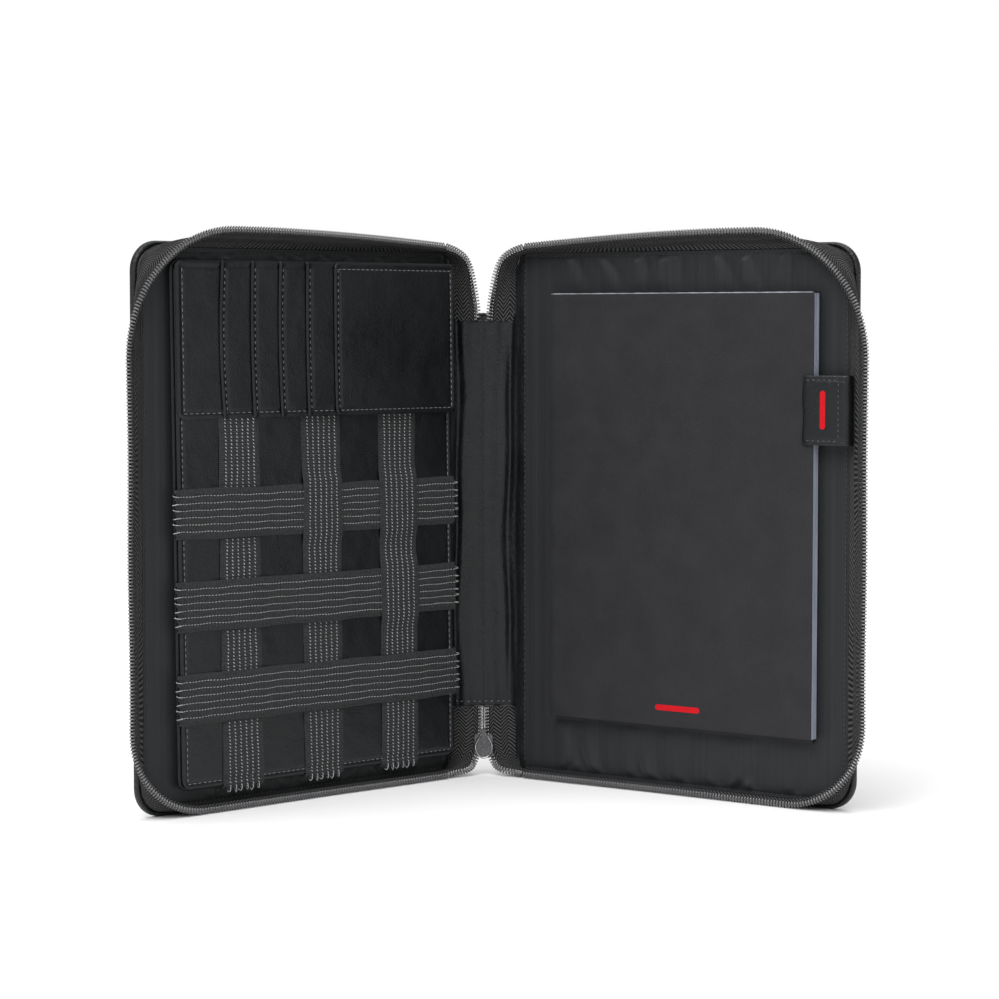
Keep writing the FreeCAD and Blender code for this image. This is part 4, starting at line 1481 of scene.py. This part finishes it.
@dataclass
class Organizer:
    """The padded leather panel in the left cover, with card pockets and woven elastic bands."""

    leaf: Leaf
    near: float = 9.5
    far: float = 179.5
    low: float = 11.2
    high: float = 258.0
    front: float = 9.0
    front_thickness: float = 1.6
    back_face: float = 7.0
    back_thickness: float = 1.5
    seam: Stitch = Stitch(2.1, 2.9, 0.2)
    pocket_seam: Stitch = Stitch(2.0, 3.0, 0.2)
    pocket_low: float = 184.0
    pocket_face: float = 9.9
    pocket_thickness: float = 0.55
    pocket_lift: float = 0.65
    pocket_bows: tuple = (0.0, 1.6, 0.9, 1.1, 0.6, 0.4)
    pocket_seam_low: float = 2.6
    pocket_seam_near: float = 4.6
    above_seam: float = 0.02
    pocket_edges: tuple = (178.4, 153.0, 136.0, 120.0, 104.5, 88.0)
    lean: float = 3.2
    pocket_step: float = 0.72
    rows: int = 6
    row_pitch: float = 3.35
    row_sink: float = 0.16
    slanting: Stitch = Stitch(1.25, 1.65, 0.24)
    running: Stitch = Stitch(1.15, 1.7, 0.2)
    bands: list = field(default_factory=lambda: [
        Band("elastic_vertical_1", True, 143.5, 9.6, 188.0),
        Band("elastic_vertical_2", True, 94.5, 9.6, 188.0, (140.0,)),
        Band("elastic_vertical_3", True, 46.5, 9.6, 188.0, (140.0, 97.0)),
        Band("elastic_horizontal_1", False, 140.0, 7.2, 180.3, (143.5,)),
        Band("elastic_horizontal_2", False, 97.0, 7.2, 180.3, (143.5, 94.5)),
        Band("elastic_horizontal_3", False, 54.0, 7.2, 180.3, (143.5, 94.5, 45.5))])

    def finish_piece(self, obj: bpy.types.Object, finish: Finish, slot: str,
                     *nodes: str) -> bpy.types.Object:
        """Dress a piece, let it lean with the panel, ride on the cover and stand for its nodes.

        Args:
            obj: The piece.
            finish: The finish to give it.
            slot: Not used; passed on to fasten, which ignores it.
            *nodes: The CAD nodes that it stands for.

        Returns:
            The same piece.
        """
        rows = points_of(obj)
        way = np.array(self.leaf.world(-1, 0, 0)) - np.array(self.leaf.world(0, 0, 0))
        rows += way * ((1 - rows[:, 2] / MM / self.high) * self.lean)[:, None] * MM
        put_points(obj, rows)
        return fasten(obj, self.leaf.body, finish, slot, *nodes)

    def panel(self, name: str, box: tuple, front: float, thickness: float, radius: float = 5.0,
              sway: float = 0.0, lift: float = 0.0, seed: int = 1) -> bpy.types.Object:
        """A leather panel with rounded corners, pressed seams and rolled edges.

        Args:
            name: The piece's name.
            box: Its near edge, far edge, low edge and high edge.
            front: Height of its face.
            thickness: Its thickness.
            radius: Radius of its corners.
            sway: How far the far edge bows outwards at mid height.
            lift: How far the far edge lifts off.
            seed: Draws its unevenness.

        Returns:
            The panel.
        """
        near, far, low, high = box

        def shape(s: np.ndarray, t: np.ndarray) -> tuple:
            """Round the corners, press the stitched line and crown the middle.

            Args:
                s: Place across.
                t: Place along, from 0 to 1.

            Returns:
                The u, n and z of each place.
            """
            run_in = np.minimum(s * (far - near), (1 - s) * (far - near))
            cut = np.clip(radius - run_in, 0, radius)
            drop = radius - np.sqrt(np.maximum(radius ** 2 - cut ** 2, 0))
            z = low + drop + t * (high - low - 2 * drop)
            u = near + s * (far - near + sway * np.sin(np.clip((z - low) / (high - low), 0, 1) * math.pi))
            rim = np.minimum.reduce([z - low - drop, high - drop - z, run_in])
            n = front + 0.22 * ripple(u, z, seed, 6, 0.09) * ease(rim, 3, 12)
            n = n - 0.42 * hump(rim, 3.1, 0.8) - 0.55 * hump(rim, 0, 0.6) + 0.12 * hump(rim, 1.4, 0.7)
            return u, n + lift * ease(s * (far - near), far - near - 3.5, far - near), z

        share = edged(0, far - near, 2.0, min(6.0, (far - near) / 3)) / (far - near)
        rise = edged(0, high - low, 2.0) / (high - low)
        obj = self.leaf.sheet(name, share, rise, shape)
        thicken(obj, thickness, 0.3)
        return smooth(obj)

    def sew(self, name: str, line: list, height: float, stitch: Stitch, finish: Finish,
            slant: float = 0.0) -> bpy.types.Object:
        """Sew along (u, z) points at a height above the cover.

        Args:
            name: The row's name.
            line: The (u, z) points of the seam.
            height: Height above the cover.
            stitch: The stitch to repeat.
            finish: The finish to give it.
            slant: How far each stitch turns from the line, in radians.

        Returns:
            The row of stitches.
        """
        flat = np.concatenate([np.linspace(a, b, max(3, int(np.linalg.norm(np.subtract(b, a)))))
                               for a, b in zip(line[:-1], line[1:])])
        rows = np.stack(self.leaf.world(flat[:, 0], height, flat[:, 1]), 1)
        return self.finish_piece(stitch.along(name, rows, self.leaf.inward, slant), finish, "leather")

    def build_panels(self) -> None:
        """The two leather sheets round the foam, and the seam near their edge."""
        back = self.panel("organizer_back_leather", (self.near, self.far, self.low, self.high),
                          self.back_face, self.back_thickness, seed=41)
        self.finish_piece(back, Finish.LEATHER, "leather", "organizer_back_sheet")
        face = self.panel("organizer_front_leather", (self.near + 0.7, self.far - 0.9, self.low + 0.5,
                                                      self.high - 0.5), self.front, self.front_thickness,
                          seed=42)
        self.finish_piece(face, Finish.LEATHER, "leather", "organizer_front_sheet")
        inner, outer, foot = self.near + 3.6, self.far - 3.8, self.low + 3.4
        self.sew("organizer_edge_stitches",
                 [(inner, self.pocket_low), (inner, foot), (outer, foot), (outer, self.pocket_low)],
                 self.front - 0.12, self.seam, Finish.GREY_THREAD)
        dress(frame["nodes"]["organizer_foam"], Finish.FOAM.material)

    def build_pockets(self) -> None:
        """The stepped card pockets: each leaf of leather starts further in and lies higher."""
        nodes = ["card_base", *(f"card_pocket_{k}" for k in range(1, 5)), "card_front_panel"]
        last = len(nodes) - 1
        for k, (edge, bow, node) in enumerate(zip(self.pocket_edges, self.pocket_bows, nodes)):
            top = self.high - 0.9 + (0.5 if k else 0)
            face = self.pocket_face + k * self.pocket_step
            obj = self.panel(f"{node}_leather", (self.near + 1.4, edge, self.pocket_low, top), face,
                             self.pocket_thickness, 4.0 if k in (0, last) else 1.2, bow,
                             self.pocket_lift if k else 0.0, 50 + k)
            self.finish_piece(obj, Finish.LEATHER, "leather", node)
            inset = 3.4 if k == 0 else 2.4
            z = np.linspace(self.pocket_low + 3, top - 3, 7)
            bowed = bow * np.sin((z - self.pocket_low) / (top - self.pocket_low) * math.pi)
            self.sew(f"{node}_stitches", [(edge - inset + b, h) for b, h in zip(bowed, z)],
                     face + self.above_seam, self.pocket_seam, Finish.GREY_THREAD)
        self.build_pocket_seams(self.pocket_face + last * self.pocket_step)

    def build_pocket_seams(self, face: float) -> None:
        """The seams round the front panel and along the foot of all the pockets.

        Args:
            face: Height of the front panel's face.
        """
        inner, low = self.near + self.pocket_seam_near, self.pocket_low + self.pocket_seam_low
        top, edge = self.high - 4, self.pocket_edges[-1]
        self.sew("card_front_edge_stitches", [(inner, low), (inner, top), (edge - 2, top)],
                 face + self.above_seam, self.seam, Finish.GREY_THREAD)
        ends = [inner, edge, *self.pocket_edges[-2:0:-1], self.far - 4]
        heights = [face] + [self.pocket_face + (4 - k) * self.pocket_step for k in range(5)]
        rows = []
        for begin, end, height in zip(ends[:-1], ends[1:], heights):
            flat = np.linspace((begin, low), (end, low), 12)
            line = np.stack(self.leaf.world(flat[:, 0], height + self.above_seam, flat[:, 1]), 1)
            rows.append(self.seam.along("seam", line, self.leaf.inward))
        self.finish_piece(joined("card_bottom_stitches", rows), Finish.GREY_THREAD, "leather")

    def band_height(self, band: Band, t: np.ndarray) -> np.ndarray:
        """Height of a band's face along its length.

        Args:
            band: The band.
            t: Places along the band.

        Returns:
            The height at each place.
        """
        rise = 0 * t
        for crossing in band.over:
            away = np.abs(t - crossing)
            rise = np.maximum(rise, 1 - ease(away, 11.5, 19.5))
        n = band.base + band.hop * rise + 0.12 * np.sin(t * 0.13 + band.middle)
        first, last = (self.low, 400.0) if band.upright else (self.near, self.far)
        n = n - 0.5 * hump(t, first + 3.4, 1.3) - 0.5 * hump(t, last - 3.6, 1.3)
        tucked = ease(-t, -first - 0.6, -first + 2.4) ** 1.5 + ease(t, last - 0.4, last + 2.2) ** 1.5
        return n - band.tuck * tucked

    def band_place(self, band: Band, w: np.ndarray, t: np.ndarray, n: np.ndarray) -> tuple:
        """A place on a band as u, n and z, with its slight waist and scalloped ends.

        Args:
            band: The band.
            w: Places across it from its middle.
            t: Places along the band.
            n: Height of the band's face.

        Returns:
            The u, n and z of each place.
        """
        waist = 1 - 0.03 * np.sin(t * 0.07 + band.middle) ** 2
        end = hump(t, band.start, 2.5) + hump(t, band.end, 2.5)
        drift = 0.2 * np.sin(t * 0.033 + band.middle)
        side = band.middle + w * waist * (1 - 0.02 * end) + drift
        along = t + 0.5 * end * np.sin(w * math.tau / self.row_pitch)
        return (side, n, along) if band.upright else (along, n, side)

    def build_band(self, band: Band) -> None:
        """One band with its ribs, and the rows of thread sewn along it.

        Args:
            band: The band.
        """
        places = (np.arange(self.rows) - (self.rows - 1) / 2) * self.row_pitch
        half = band.width / 2

        def ribs(w: np.ndarray) -> np.ndarray:
            """The ribs between the sewn rows and the thin selvage.

            Args:
                w: Places across it from its middle.

            Returns:
                The height to add at each place.
            """
            groove = sum(hump(w, place, 0.62) for place in places)
            selvage = 0.25 * ease(np.abs(w), half - 2.2, half - 1.6) + 0.3 * hump(np.abs(w), half, 0.5)
            return -0.34 * groove - selvage

        def shape(w: np.ndarray, t: np.ndarray) -> tuple:
            """Lay the ribbed band over the panel and the bands that it crosses."""
            return self.band_place(band, w, t, self.band_height(band, t) + ribs(w))

        across = steps(-half, half, 0.42)
        along = steps(band.start, band.end, 1.1)
        obj = shaped_grid(f"{band.name}_webbing", across, along, lambda a, b: self.leaf.world(*shape(a, b)),
                          (self.leaf.side < 0) == band.upright)
        thicken(obj, band.thickness, 0.0)
        self.finish_piece(smooth(obj, 60), Finish.ELASTIC, "elastic", band.name)
        stitch, slant = (self.slanting, 0.7) if band.upright else (self.running, 0.1)
        rows = []
        for k, place in enumerate(places):
            t = steps(band.start + 0.4, band.end - 0.4, 1.0)
            w = place + 0.12 * np.sin(t * 0.4 + k)
            sunk = self.band_height(band, t) - self.row_sink
            spot = np.stack(self.leaf.world(*self.band_place(band, w, t, sunk)), 1)
            rows.append(stitch.along("row", spot, self.leaf.inward, slant, 60 + k))
            rows += [self.thread_loop(band, place, end, way, k) for end, way in
                     ((band.start, -1), (band.end, 1)) if not (band.upright and way > 0)]
        thread = self.finish_piece(joined(f"{band.name}_thread", rows), Finish.BAND_THREAD, "elastic")
        LOG.info("%s: %d rows sewn", thread.name, self.rows)

    def thread_loop(self, band: Band, place: float, end: float, way: int, k: int) -> bpy.types.Object:
        """The little loop where a row of thread turns round the end of its band.

        Args:
            band: The band.
            place: Where the row runs across the band.
            end: Where the band ends.
            way: -1 at the near end, 1 at the far end.
            k: Which row of thread.

        Returns:
            The loop.
        """
        t = end + way * np.array([-1.6, -0.7, 0.1, 0.7, 1.0 + 0.5 * (k % 3 == 1), 0.8, 0.3])
        w = place + np.array([0, 0.05, 0.15, 0.3, 0.45, 0.55, 0.6]) * (1 if k % 2 else -1)
        drop = np.array([0.1, 0.1, 0.0, -0.3, -0.9, -1.5, -2.0])
        n = self.band_height(band, np.full(7, end - way * 1.6)) + drop
        base = Band(band.name, band.upright, band.middle, -900.0, 900.0)
        spot = np.stack(self.leaf.world(*self.band_place(base, w, t, n)), 1)
        return tube("loop", spot, np.full(7, 0.2), 5)

    def build(self) -> None:
        """Make the organizer."""
        self.build_panels()
        self.build_pockets()
        for band in self.bands:
            self.build_band(band)


# ---------------------------------------------------------------- writing pad, pen loop, slider


@dataclass
class WritingPad:
    """A top-bound pad: glued sheets between a backing board and a card cover folded over the top."""

    leaf: Leaf
    near: float = 29.1
    far: float = 177.1
    low: float = 33.0
    high: float = 243.0
    back: float = 3.1
    front: float = 9.0
    card: float = 0.45
    straight: float = 73.5
    fold_radius: float = 1.1
    flap: float = 18.0
    mark_u: tuple = (91.0, 116.0)
    mark_z: tuple = (40.6, 43.4)

    def build_sheets(self) -> None:
        """The glued block, its edges a little uneven as cut sheets are."""
        near, far, low, high = self.near + 0.25, self.far - 0.1, self.low + 0.2, self.high - 0.7
        corners = [(near, low), (far, low), (far, high), (near, high)]
        path = np.concatenate([np.linspace(a, b, 60)[:-1]
                               for a, b in zip(corners, corners[1:] + corners[:1])])
        path = np.concatenate([path, path[:1]])
        run, middle = run_of(path), (near + far) / 2

        def shape(n: np.ndarray, s: np.ndarray) -> tuple:
            """Follow the block's edge, each few sheets set in or out a little.

            Args:
                n: Height above the cover.
                s: Place across.

            Returns:
                The u, n and z of each place.
            """
            u, z = np.interp(s, run, path[:, 0]), np.interp(s, run, path[:, 1])
            shift = 0.12 * np.sin(n * 5.1) + 0.09 * np.sin(n * 12.3 + 1)
            return (u + shift * np.sign(u - middle) * (np.abs(u - middle) > self.straight), n,
                    z - np.maximum(shift, -0.1) * (z < low + 0.5))

        across = np.linspace(self.back + 0.85, self.front - self.card - 0.02, 22)
        obj = self.leaf.sheet("pad_sheet_block", across, run, shape)
        merge_seams(obj)
        bpy.ops.object.mode_set(mode="EDIT")
        bpy.ops.mesh.select_all(action="DESELECT")
        bpy.ops.mesh.select_non_manifold(extend=False)
        bpy.ops.mesh.edge_face_add()
        bpy.ops.mesh.select_all(action="SELECT")
        bpy.ops.mesh.normals_make_consistent(inside=False)
        bpy.ops.object.mode_set(mode="OBJECT")
        fasten(smooth(obj, 30), "writing_pad", Finish.PAPER, "pad_paper", "pad_sheets")

    def build_cover(self) -> None:
        """The card cover, creased over the bound edge, with its back flap and a pale strip along the fold
        that is a painted highlight with some wear.
        """
        radius = self.fold_radius
        profile = [(self.back - 0.02, self.high - self.flap), (self.back - 0.02, self.high - radius)]
        turn = np.linspace(0, math.pi / 2, 6)
        profile += [(self.back + radius - radius * math.cos(a), self.high - radius + radius * math.sin(a))
                    for a in turn[1:]]
        profile += [(self.front - radius + radius * math.sin(a), self.high - radius + radius * math.cos(a))
                    for a in turn]
        profile += [(self.front, z) for z in steps(self.high - 4, self.low, 3.0)]
        rows = np.array(profile)
        run = run_of(rows)

        def shape(u: np.ndarray, s: np.ndarray) -> tuple:
            """Fold the card, with a faint crease below the fold and a hardly curled lower corner.

            Args:
                u: Distance outwards from the fold.
                s: Place across.

            Returns:
                The u, n and z of each place.
            """
            n, z = np.interp(s, run, rows[:, 0]), np.interp(s, run, rows[:, 1])
            face = n > self.front - 0.01
            curl = 0.35 * ease(u, self.far - 45, self.far) * ease(-z, -self.low - 50, -self.low)
            crease = -0.13 * hump(z, self.high - 7, 0.6)
            return u, n + (curl + crease + 0.05 * ripple(u, z, 77, 4, 0.03)) * face, z

        obj = self.leaf.sheet("pad_card_cover", steps(self.near, self.far, 3.0), run, shape)
        obj.data.flip_normals()
        thicken(obj, self.card, 0.08)
        fasten(smooth(obj, 40), "writing_pad", Finish.CARD, "pad_card", "pad_cover")
        # A thin raised strip along the top fold in a much paler card colour: a painted highlight of the fold
        # catching the light, with some wear.
        u = steps(self.near + 0.2, self.far - 0.2, 2.0)
        n = self.front - 0.22 + 0.02 * np.sin(u)
        line = np.stack(self.leaf.world(u, n, self.high - 0.28 + 0 * u), 1)
        radii = 0.24 + 0.05 * np.sin(u * 0.8) + 0.03 * np.sin(u * 2.9)
        radii[[0, -1]] = 0.03
        fasten(smooth(tube("pad_fold_wear", line, radii, 8)), "writing_pad", Finish.CARD_FOLD, "pad_card")

    def build(self) -> None:
        """Make the pad."""
        self.build_sheets()
        self.build_cover()
        bar = print_bar("pad_red_bar", self.leaf, self.mark_u, self.mark_z, self.front + 0.03)
        fasten(bar, "writing_pad", Finish.RED_PRINT, "pad_card")
        dress(frame["nodes"]["pad_backing"], Finish.BACKING.material)


def print_bar(name: str, leaf: Leaf, u_range: tuple, z_range: tuple, height: float) -> bpy.types.Object:
    """A plain printed bar with round ends, raised by the ink's thickness.

    Args:
        name: The piece's name.
        leaf: The cover whose axes it uses.
        u_range: Its ends outwards from the fold.
        z_range: Its lowest and highest place.
        height: Height above the cover.

    Returns:
        The bar.
    """
    (u0, u1), (z0, z1) = u_range, z_range
    radius = min(u1 - u0, z1 - z0) / 2
    tall = z1 - z0 > u1 - u0

    def shape(a: np.ndarray, b: np.ndarray) -> tuple:
        """Pull the corners in to round ends.

        Args:
            a: Place across.
            b: Place along.

        Returns:
            The u, n and z of each place.
        """
        u, z = u0 + a * (u1 - u0), z0 + b * (z1 - z0)
        run = np.minimum(z - z0, z1 - z) if tall else np.minimum(u - u0, u1 - u)
        keep = np.sqrt(np.maximum(1 - (1 - np.clip(run / radius, 0, 1)) ** 2, 0.0004))
        if tall:
            return (u0 + u1) / 2 + (u - (u0 + u1) / 2) * keep, height + 0 * a, z
        return u, height + 0 * a, (z0 + z1) / 2 + (z - (z0 + z1) / 2) * keep

    length = max(u1 - u0, z1 - z0)
    even = edged(0, length, 1.0, radius, 0.15) / length
    few = np.linspace(0, 1, 5)
    bar = leaf.sheet(name, few if tall else even, even if tall else few, shape)
    thicken(bar, 0.05, 0.0, 1.0)
    return smooth(bar)


@dataclass
class PenLoop:
    """A leather strip sewn down at its foot and folded over the edge of the pad."""

    leaf: Leaf
    low: float = 171.5
    high: float = 204.0
    tip: float = 172.0
    fold_u: float = 192.9
    fold_n: float = 7.0
    radius: float = 3.5
    thickness: float = 1.15
    foot_u: float = 185.6
    seam_inset: float = 2.1
    end_seam_u: float = 191.0
    mark_u: tuple = (181.6, 184.4)
    mark_z: tuple = (179.0, 197.0)
    blend_n: tuple = (4.6, 9.4)

    def profile(self) -> tuple:
        """The strip's outer face from foot to tip.

        Returns:
            Its places as u and n, and the index at which the tongue starts.
        """
        turn = np.linspace(-math.pi / 2, math.pi / 2, 15)
        foot, tongue = steps(self.foot_u, self.fold_u - 1.4, 1.0), steps(self.fold_u - 1.1, self.tip, 0.9)
        u = np.concatenate([foot, self.fold_u + self.radius * np.cos(turn), tongue])
        arch = 0.35 * np.sin((tongue - self.tip) / 20 * math.pi) - 0.35 * hump(tongue, self.tip, 1.2)
        n = np.concatenate([np.full(len(foot), self.fold_n - self.radius + 0.1),
                            self.fold_n + self.radius * np.sin(turn), self.fold_n + self.radius + arch])
        return u, n, len(foot) + len(turn)

    def blended(self, obj: bpy.types.Object) -> None:
        """Bake a piece's placement into its mesh.

        Args:
            obj: The piece.
        """
        start, end = (self.leaf.world(self.fold_u, n, 0) for n in self.blend_n)
        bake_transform(obj)

    def build(self) -> None:
        """Make the strip, its seams and its plain red mark."""
        u_line, n_line, first = self.profile()
        run = run_of(np.stack([u_line, n_line], 1))

        def shape(z: np.ndarray, s: np.ndarray) -> tuple:
            """Fold the strip, pressing its stitched edges.

            Args:
                z: Height above the floor.
                s: Place across.

            Returns:
                The u, n and z of each place.
            """
            u, n = np.interp(s, run, u_line), np.interp(s, run, n_line)
            rim = np.minimum(z - self.low, self.high - z)
            tongue = ease(n, self.fold_n + 2, self.fold_n + self.radius)
            press = 0.3 * hump(rim, 2.1, 0.7) + 0.35 * hump(rim, 0, 0.5) - 0.15 * ripple(u, z, 88, 5, 0.3)
            return u + 0.25 * np.sin(z * 0.35) * (s > run[-1] - 2), n - press * tongue, z

        obj = self.leaf.sheet("pen_loop_leather", edged(self.low, self.high, 0.9, 3.0, 0.4), run, shape)
        thicken(obj, self.thickness, 0.3)
        dress(smooth(obj), Finish.LEATHER.material)
        self.blended(obj)
        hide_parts("pen_loop", "pen_loop_foot")
        self.sew(u_line[first:], n_line[first:])
        bar = print_bar("pen_loop_red_bar", self.leaf, self.mark_u, self.mark_z,
                        self.fold_n + self.radius + 0.42)
        fasten(bar, "pen_loop", Finish.RED_PRINT, "leather")

    def sew(self, u_line: np.ndarray, n_line: np.ndarray) -> None:
        """Sew the tongue along its two sides and across beside the fold.

        Args:
            u_line: The tongue's places outwards from the fold of the cover.
            n_line: The matching heights.
        """
        rows = []
        for z in (self.low + self.seam_inset, self.high - self.seam_inset):
            u = steps(self.fold_u - 2.4, self.tip + 1.5, 0.8)
            n = np.interp(-u, -u_line, n_line) - 0.28
            line = np.stack(self.leaf.world(u, n, z + 0 * u), 1)
            rows.append(Stitch(1.9, 2.6, 0.19).along("row", line, self.leaf.inward))
        z = steps(self.low + 3, self.high - 3, 1.0)
        line = np.stack(self.leaf.world(self.end_seam_u + 0 * z, self.fold_n + self.radius + 0.08, z), 1)
        rows.append(Stitch(1.7, 2.6, 0.17).along("row", line, self.leaf.inward))
        fasten(joined("pen_loop_stitches", rows), "pen_loop", Finish.MID_THREAD, "leather")


@dataclass
class Slider:
    """The zip slider's teardrop pull, with a raised polished rim."""

    top: float = 21.2
    bottom: float = 8.5
    half_width: float = 4.5
    front_y: float = 63.15
    thickness: float = 1.1
    narrowing: float = 0.42
    bevel: float = 0.12
    steps_in: tuple = ((0.55, 0.0), (0.25, -0.3), (0.8, 0.12))
    rim_inset: float = 0.25
    rim_sink: float = 0.15
    rim_radius: float = 0.24
    points: int = 60

    def edge(self, turn: np.ndarray, inset: float) -> tuple:
        """The teardrop's edge, narrow at the top.

        Args:
            turn: Angles round it from the top, in radians.
            inset: How far inside the true edge.

        Returns:
            The x and z of each place.
        """
        high, low = self.top - inset, self.bottom + inset
        z = (high + low) / 2 + (high - low) / 2 * np.cos(turn)
        narrow = 1 - self.narrowing * ease(z, low + 5.0, high + 1.5)
        return (self.half_width - inset) * np.sin(turn) * narrow, z

    def teardrop(self, name: str) -> bpy.types.Object:
        """Add a flat teardrop in the plane of the pull's face.

        Args:
            name: The piece's name.

        Returns:
            The flat piece.
        """
        deselect()
        bpy.ops.mesh.primitive_circle_add(vertices=56, radius=1, fill_type="NGON")
        obj = bpy.context.object
        obj.name = obj.data.name = name
        rows = points_of(obj)
        x, z = self.edge(np.arctan2(rows[:, 0], rows[:, 1]), 0.0)
        put_points(obj, np.stack([x, 0 * x + self.front_y, z], 1) * MM)
        return obj

    def build_plate(self) -> None:
        """Press the pull out of metal: a plate with a sunk face."""
        obj = self.teardrop("zip_pull_teardrop")
        pick(obj)
        bpy.ops.object.mode_set(mode="EDIT")
        bpy.ops.mesh.select_all(action="SELECT")
        bpy.ops.mesh.extrude_region_move(TRANSFORM_OT_translate={"value": (0, self.thickness * MM, 0)})
        bpy.ops.mesh.select_all(action="SELECT")
        bpy.ops.mesh.normals_make_consistent(inside=False)
        bpy.ops.object.mode_set(mode="OBJECT")
        for face in obj.data.polygons:
            face.select = len(face.vertices) > 4
        bpy.ops.object.mode_set(mode="EDIT")
        for width, depth in self.steps_in:
            bpy.ops.mesh.inset(thickness=width * MM, depth=depth * MM, use_individual=True,
                               use_even_offset=False)
        bpy.ops.object.mode_set(mode="OBJECT")
        finish_with(obj, "BEVEL", width=self.bevel * MM, segments=2, limit_method="ANGLE",
                    angle_limit=math.radians(40))
        fasten(smooth(obj, 35), "zip_pull", Finish.GUNMETAL, "zip_metal", "zip_pull")

    def build_rim(self) -> None:
        """Run the polished rim round the plate's face."""
        x, z = self.edge(np.linspace(0.15, math.tau + 0.15, self.points), self.rim_inset)
        path = np.stack([x, 0 * x + self.front_y + self.rim_sink, z], 1)
        rim = tube("zip_pull_rim", path, np.full(self.points, self.rim_radius), 8, 1.0, (0.0, 1.0, 0.0))
        fasten(smooth(rim), "zip_pull", Finish.BRIGHT_METAL, "zip_metal")

    def build(self) -> None:
        """Make the pull and dress the slider."""
        self.build_plate()
        self.build_rim()
        dress(frame["nodes"]["zip_slider"], Finish.GUNMETAL.material)


# ---------------------------------------------------------------- floor, light and camera


@dataclass(frozen=True)
class Studio:
    """A pale floor, soft light all round and the camera."""

    lens: float = 100.514
    place: tuple = (-0.08098, -1.33604, 0.22705)
    yaw: float = -3.637
    pitch: float = 3.564
    surround: float = 0.32
    overhead: float = 3.3

    def build(self) -> None:
        """Set the stage."""
        deselect()
        bpy.ops.mesh.primitive_grid_add(x_subdivisions=8, y_subdivisions=8, size=30, location=(0, 0, 0))
        floor = bpy.context.object
        floor.name = "studio_floor"
        floor.data.materials.append(SpeckledFinish("studio_floor_paint", (0.86, 0.86, 0.86), 0.8, 0.0, 6.0,
                                                   0.01, 0.0002).build())
        self.light_world()
        self.add_lamp("key_light", (-0.7, -1.0, 1.6), 0.9, 9.0)
        self.add_lamp("fill_light", (1.5, -1.3, 0.9), 1.2, 3.0)
        self.add_lamp("back_light", (0.3, 1.0, 1.3), 1.0, 6.0)
        self.add_sky()
        self.add_camera()
        bpy.context.scene.view_settings.view_transform = "Standard"

    def light_world(self) -> None:
        """A white surround that lights the case more gently than it looks."""
        world = bpy.data.worlds.new("studio_world")
        bpy.context.scene.world = world
        world.use_nodes = True
        tree = world.node_tree
        seen = tree.nodes.new("ShaderNodeLightPath").outputs["Is Camera Ray"]
        strength = tree.nodes.new("ShaderNodeMath")
        strength.operation = "MULTIPLY_ADD"
        tree.links.new(seen, strength.inputs[0])
        strength.inputs[1].default_value = 1.0 - self.surround
        strength.inputs[2].default_value = self.surround
        background = tree.nodes["Background"]
        background.inputs["Color"].default_value = (1, 1, 1, 1)
        tree.links.new(strength.outputs[0], background.inputs["Strength"])

    def add_sky(self) -> None:
        """A very soft light from above, even over the whole floor."""
        lamp = bpy.data.lights.new("overhead_light", "SUN")
        lamp.energy = self.overhead
        lamp.angle = math.radians(80)
        obj = bpy.data.objects.new("overhead_light", lamp)
        obj.rotation_euler = (math.radians(22), math.radians(-14), 0)
        bpy.context.scene.collection.objects.link(obj)

    def add_lamp(self, name: str, place: tuple, size: float, power: float) -> None:
        """Add a soft square lamp that points at the case.

        Args:
            name: The lamp's name.
            place: Where the lamp stands.
            size: Width of the lamp in metres.
            power: Strength in watts.
        """
        lamp = bpy.data.lights.new(name, "AREA")
        lamp.shape = "SQUARE"
        lamp.size = size
        lamp.energy = power
        obj = bpy.data.objects.new(name, lamp)
        obj.location = place
        obj.rotation_euler = (Vector((0, 0, 0.12)) - Vector(place)).to_track_quat("-Z", "Y").to_euler()
        bpy.context.scene.collection.objects.link(obj)

    def add_camera(self) -> None:
        """Add the camera, a little left of the case and looking slightly down."""
        data = bpy.data.cameras.new("camera")
        data.sensor_width = 36
        data.lens = self.lens
        camera = bpy.data.objects.new("camera", data)
        yaw, pitch = math.radians(self.yaw), math.radians(self.pitch)
        ahead = Vector((-math.sin(yaw) * math.cos(pitch), math.cos(yaw) * math.cos(pitch), -math.sin(pitch)))
        camera.location = self.place
        camera.rotation_euler = ahead.to_track_quat("-Z", "Y").to_euler()
        bpy.context.scene.collection.objects.link(camera)
        bpy.context.scene.camera = camera


def main() -> None:
    """Build the case piece by piece, then the studio, logging each piece's face count."""
    logging.basicConfig(level=logging.INFO, format="%(name)s: %(message)s")
    for leaf in (LEFT, RIGHT):
        Cover(leaf).build()
        ZipSide(leaf).build()
    Organizer(LEFT).build()
    WritingPad(RIGHT).build()
    PenLoop(RIGHT).build()
    Slider().build()
    dress(frame["nodes"]["spine_reinforcement"], Finish.BOARD.material)
    dress(frame["nodes"]["right_pad_pocket"], Finish.LINING_NODE.material)
    Studio().build()


if __name__ == "__main__":
    main()
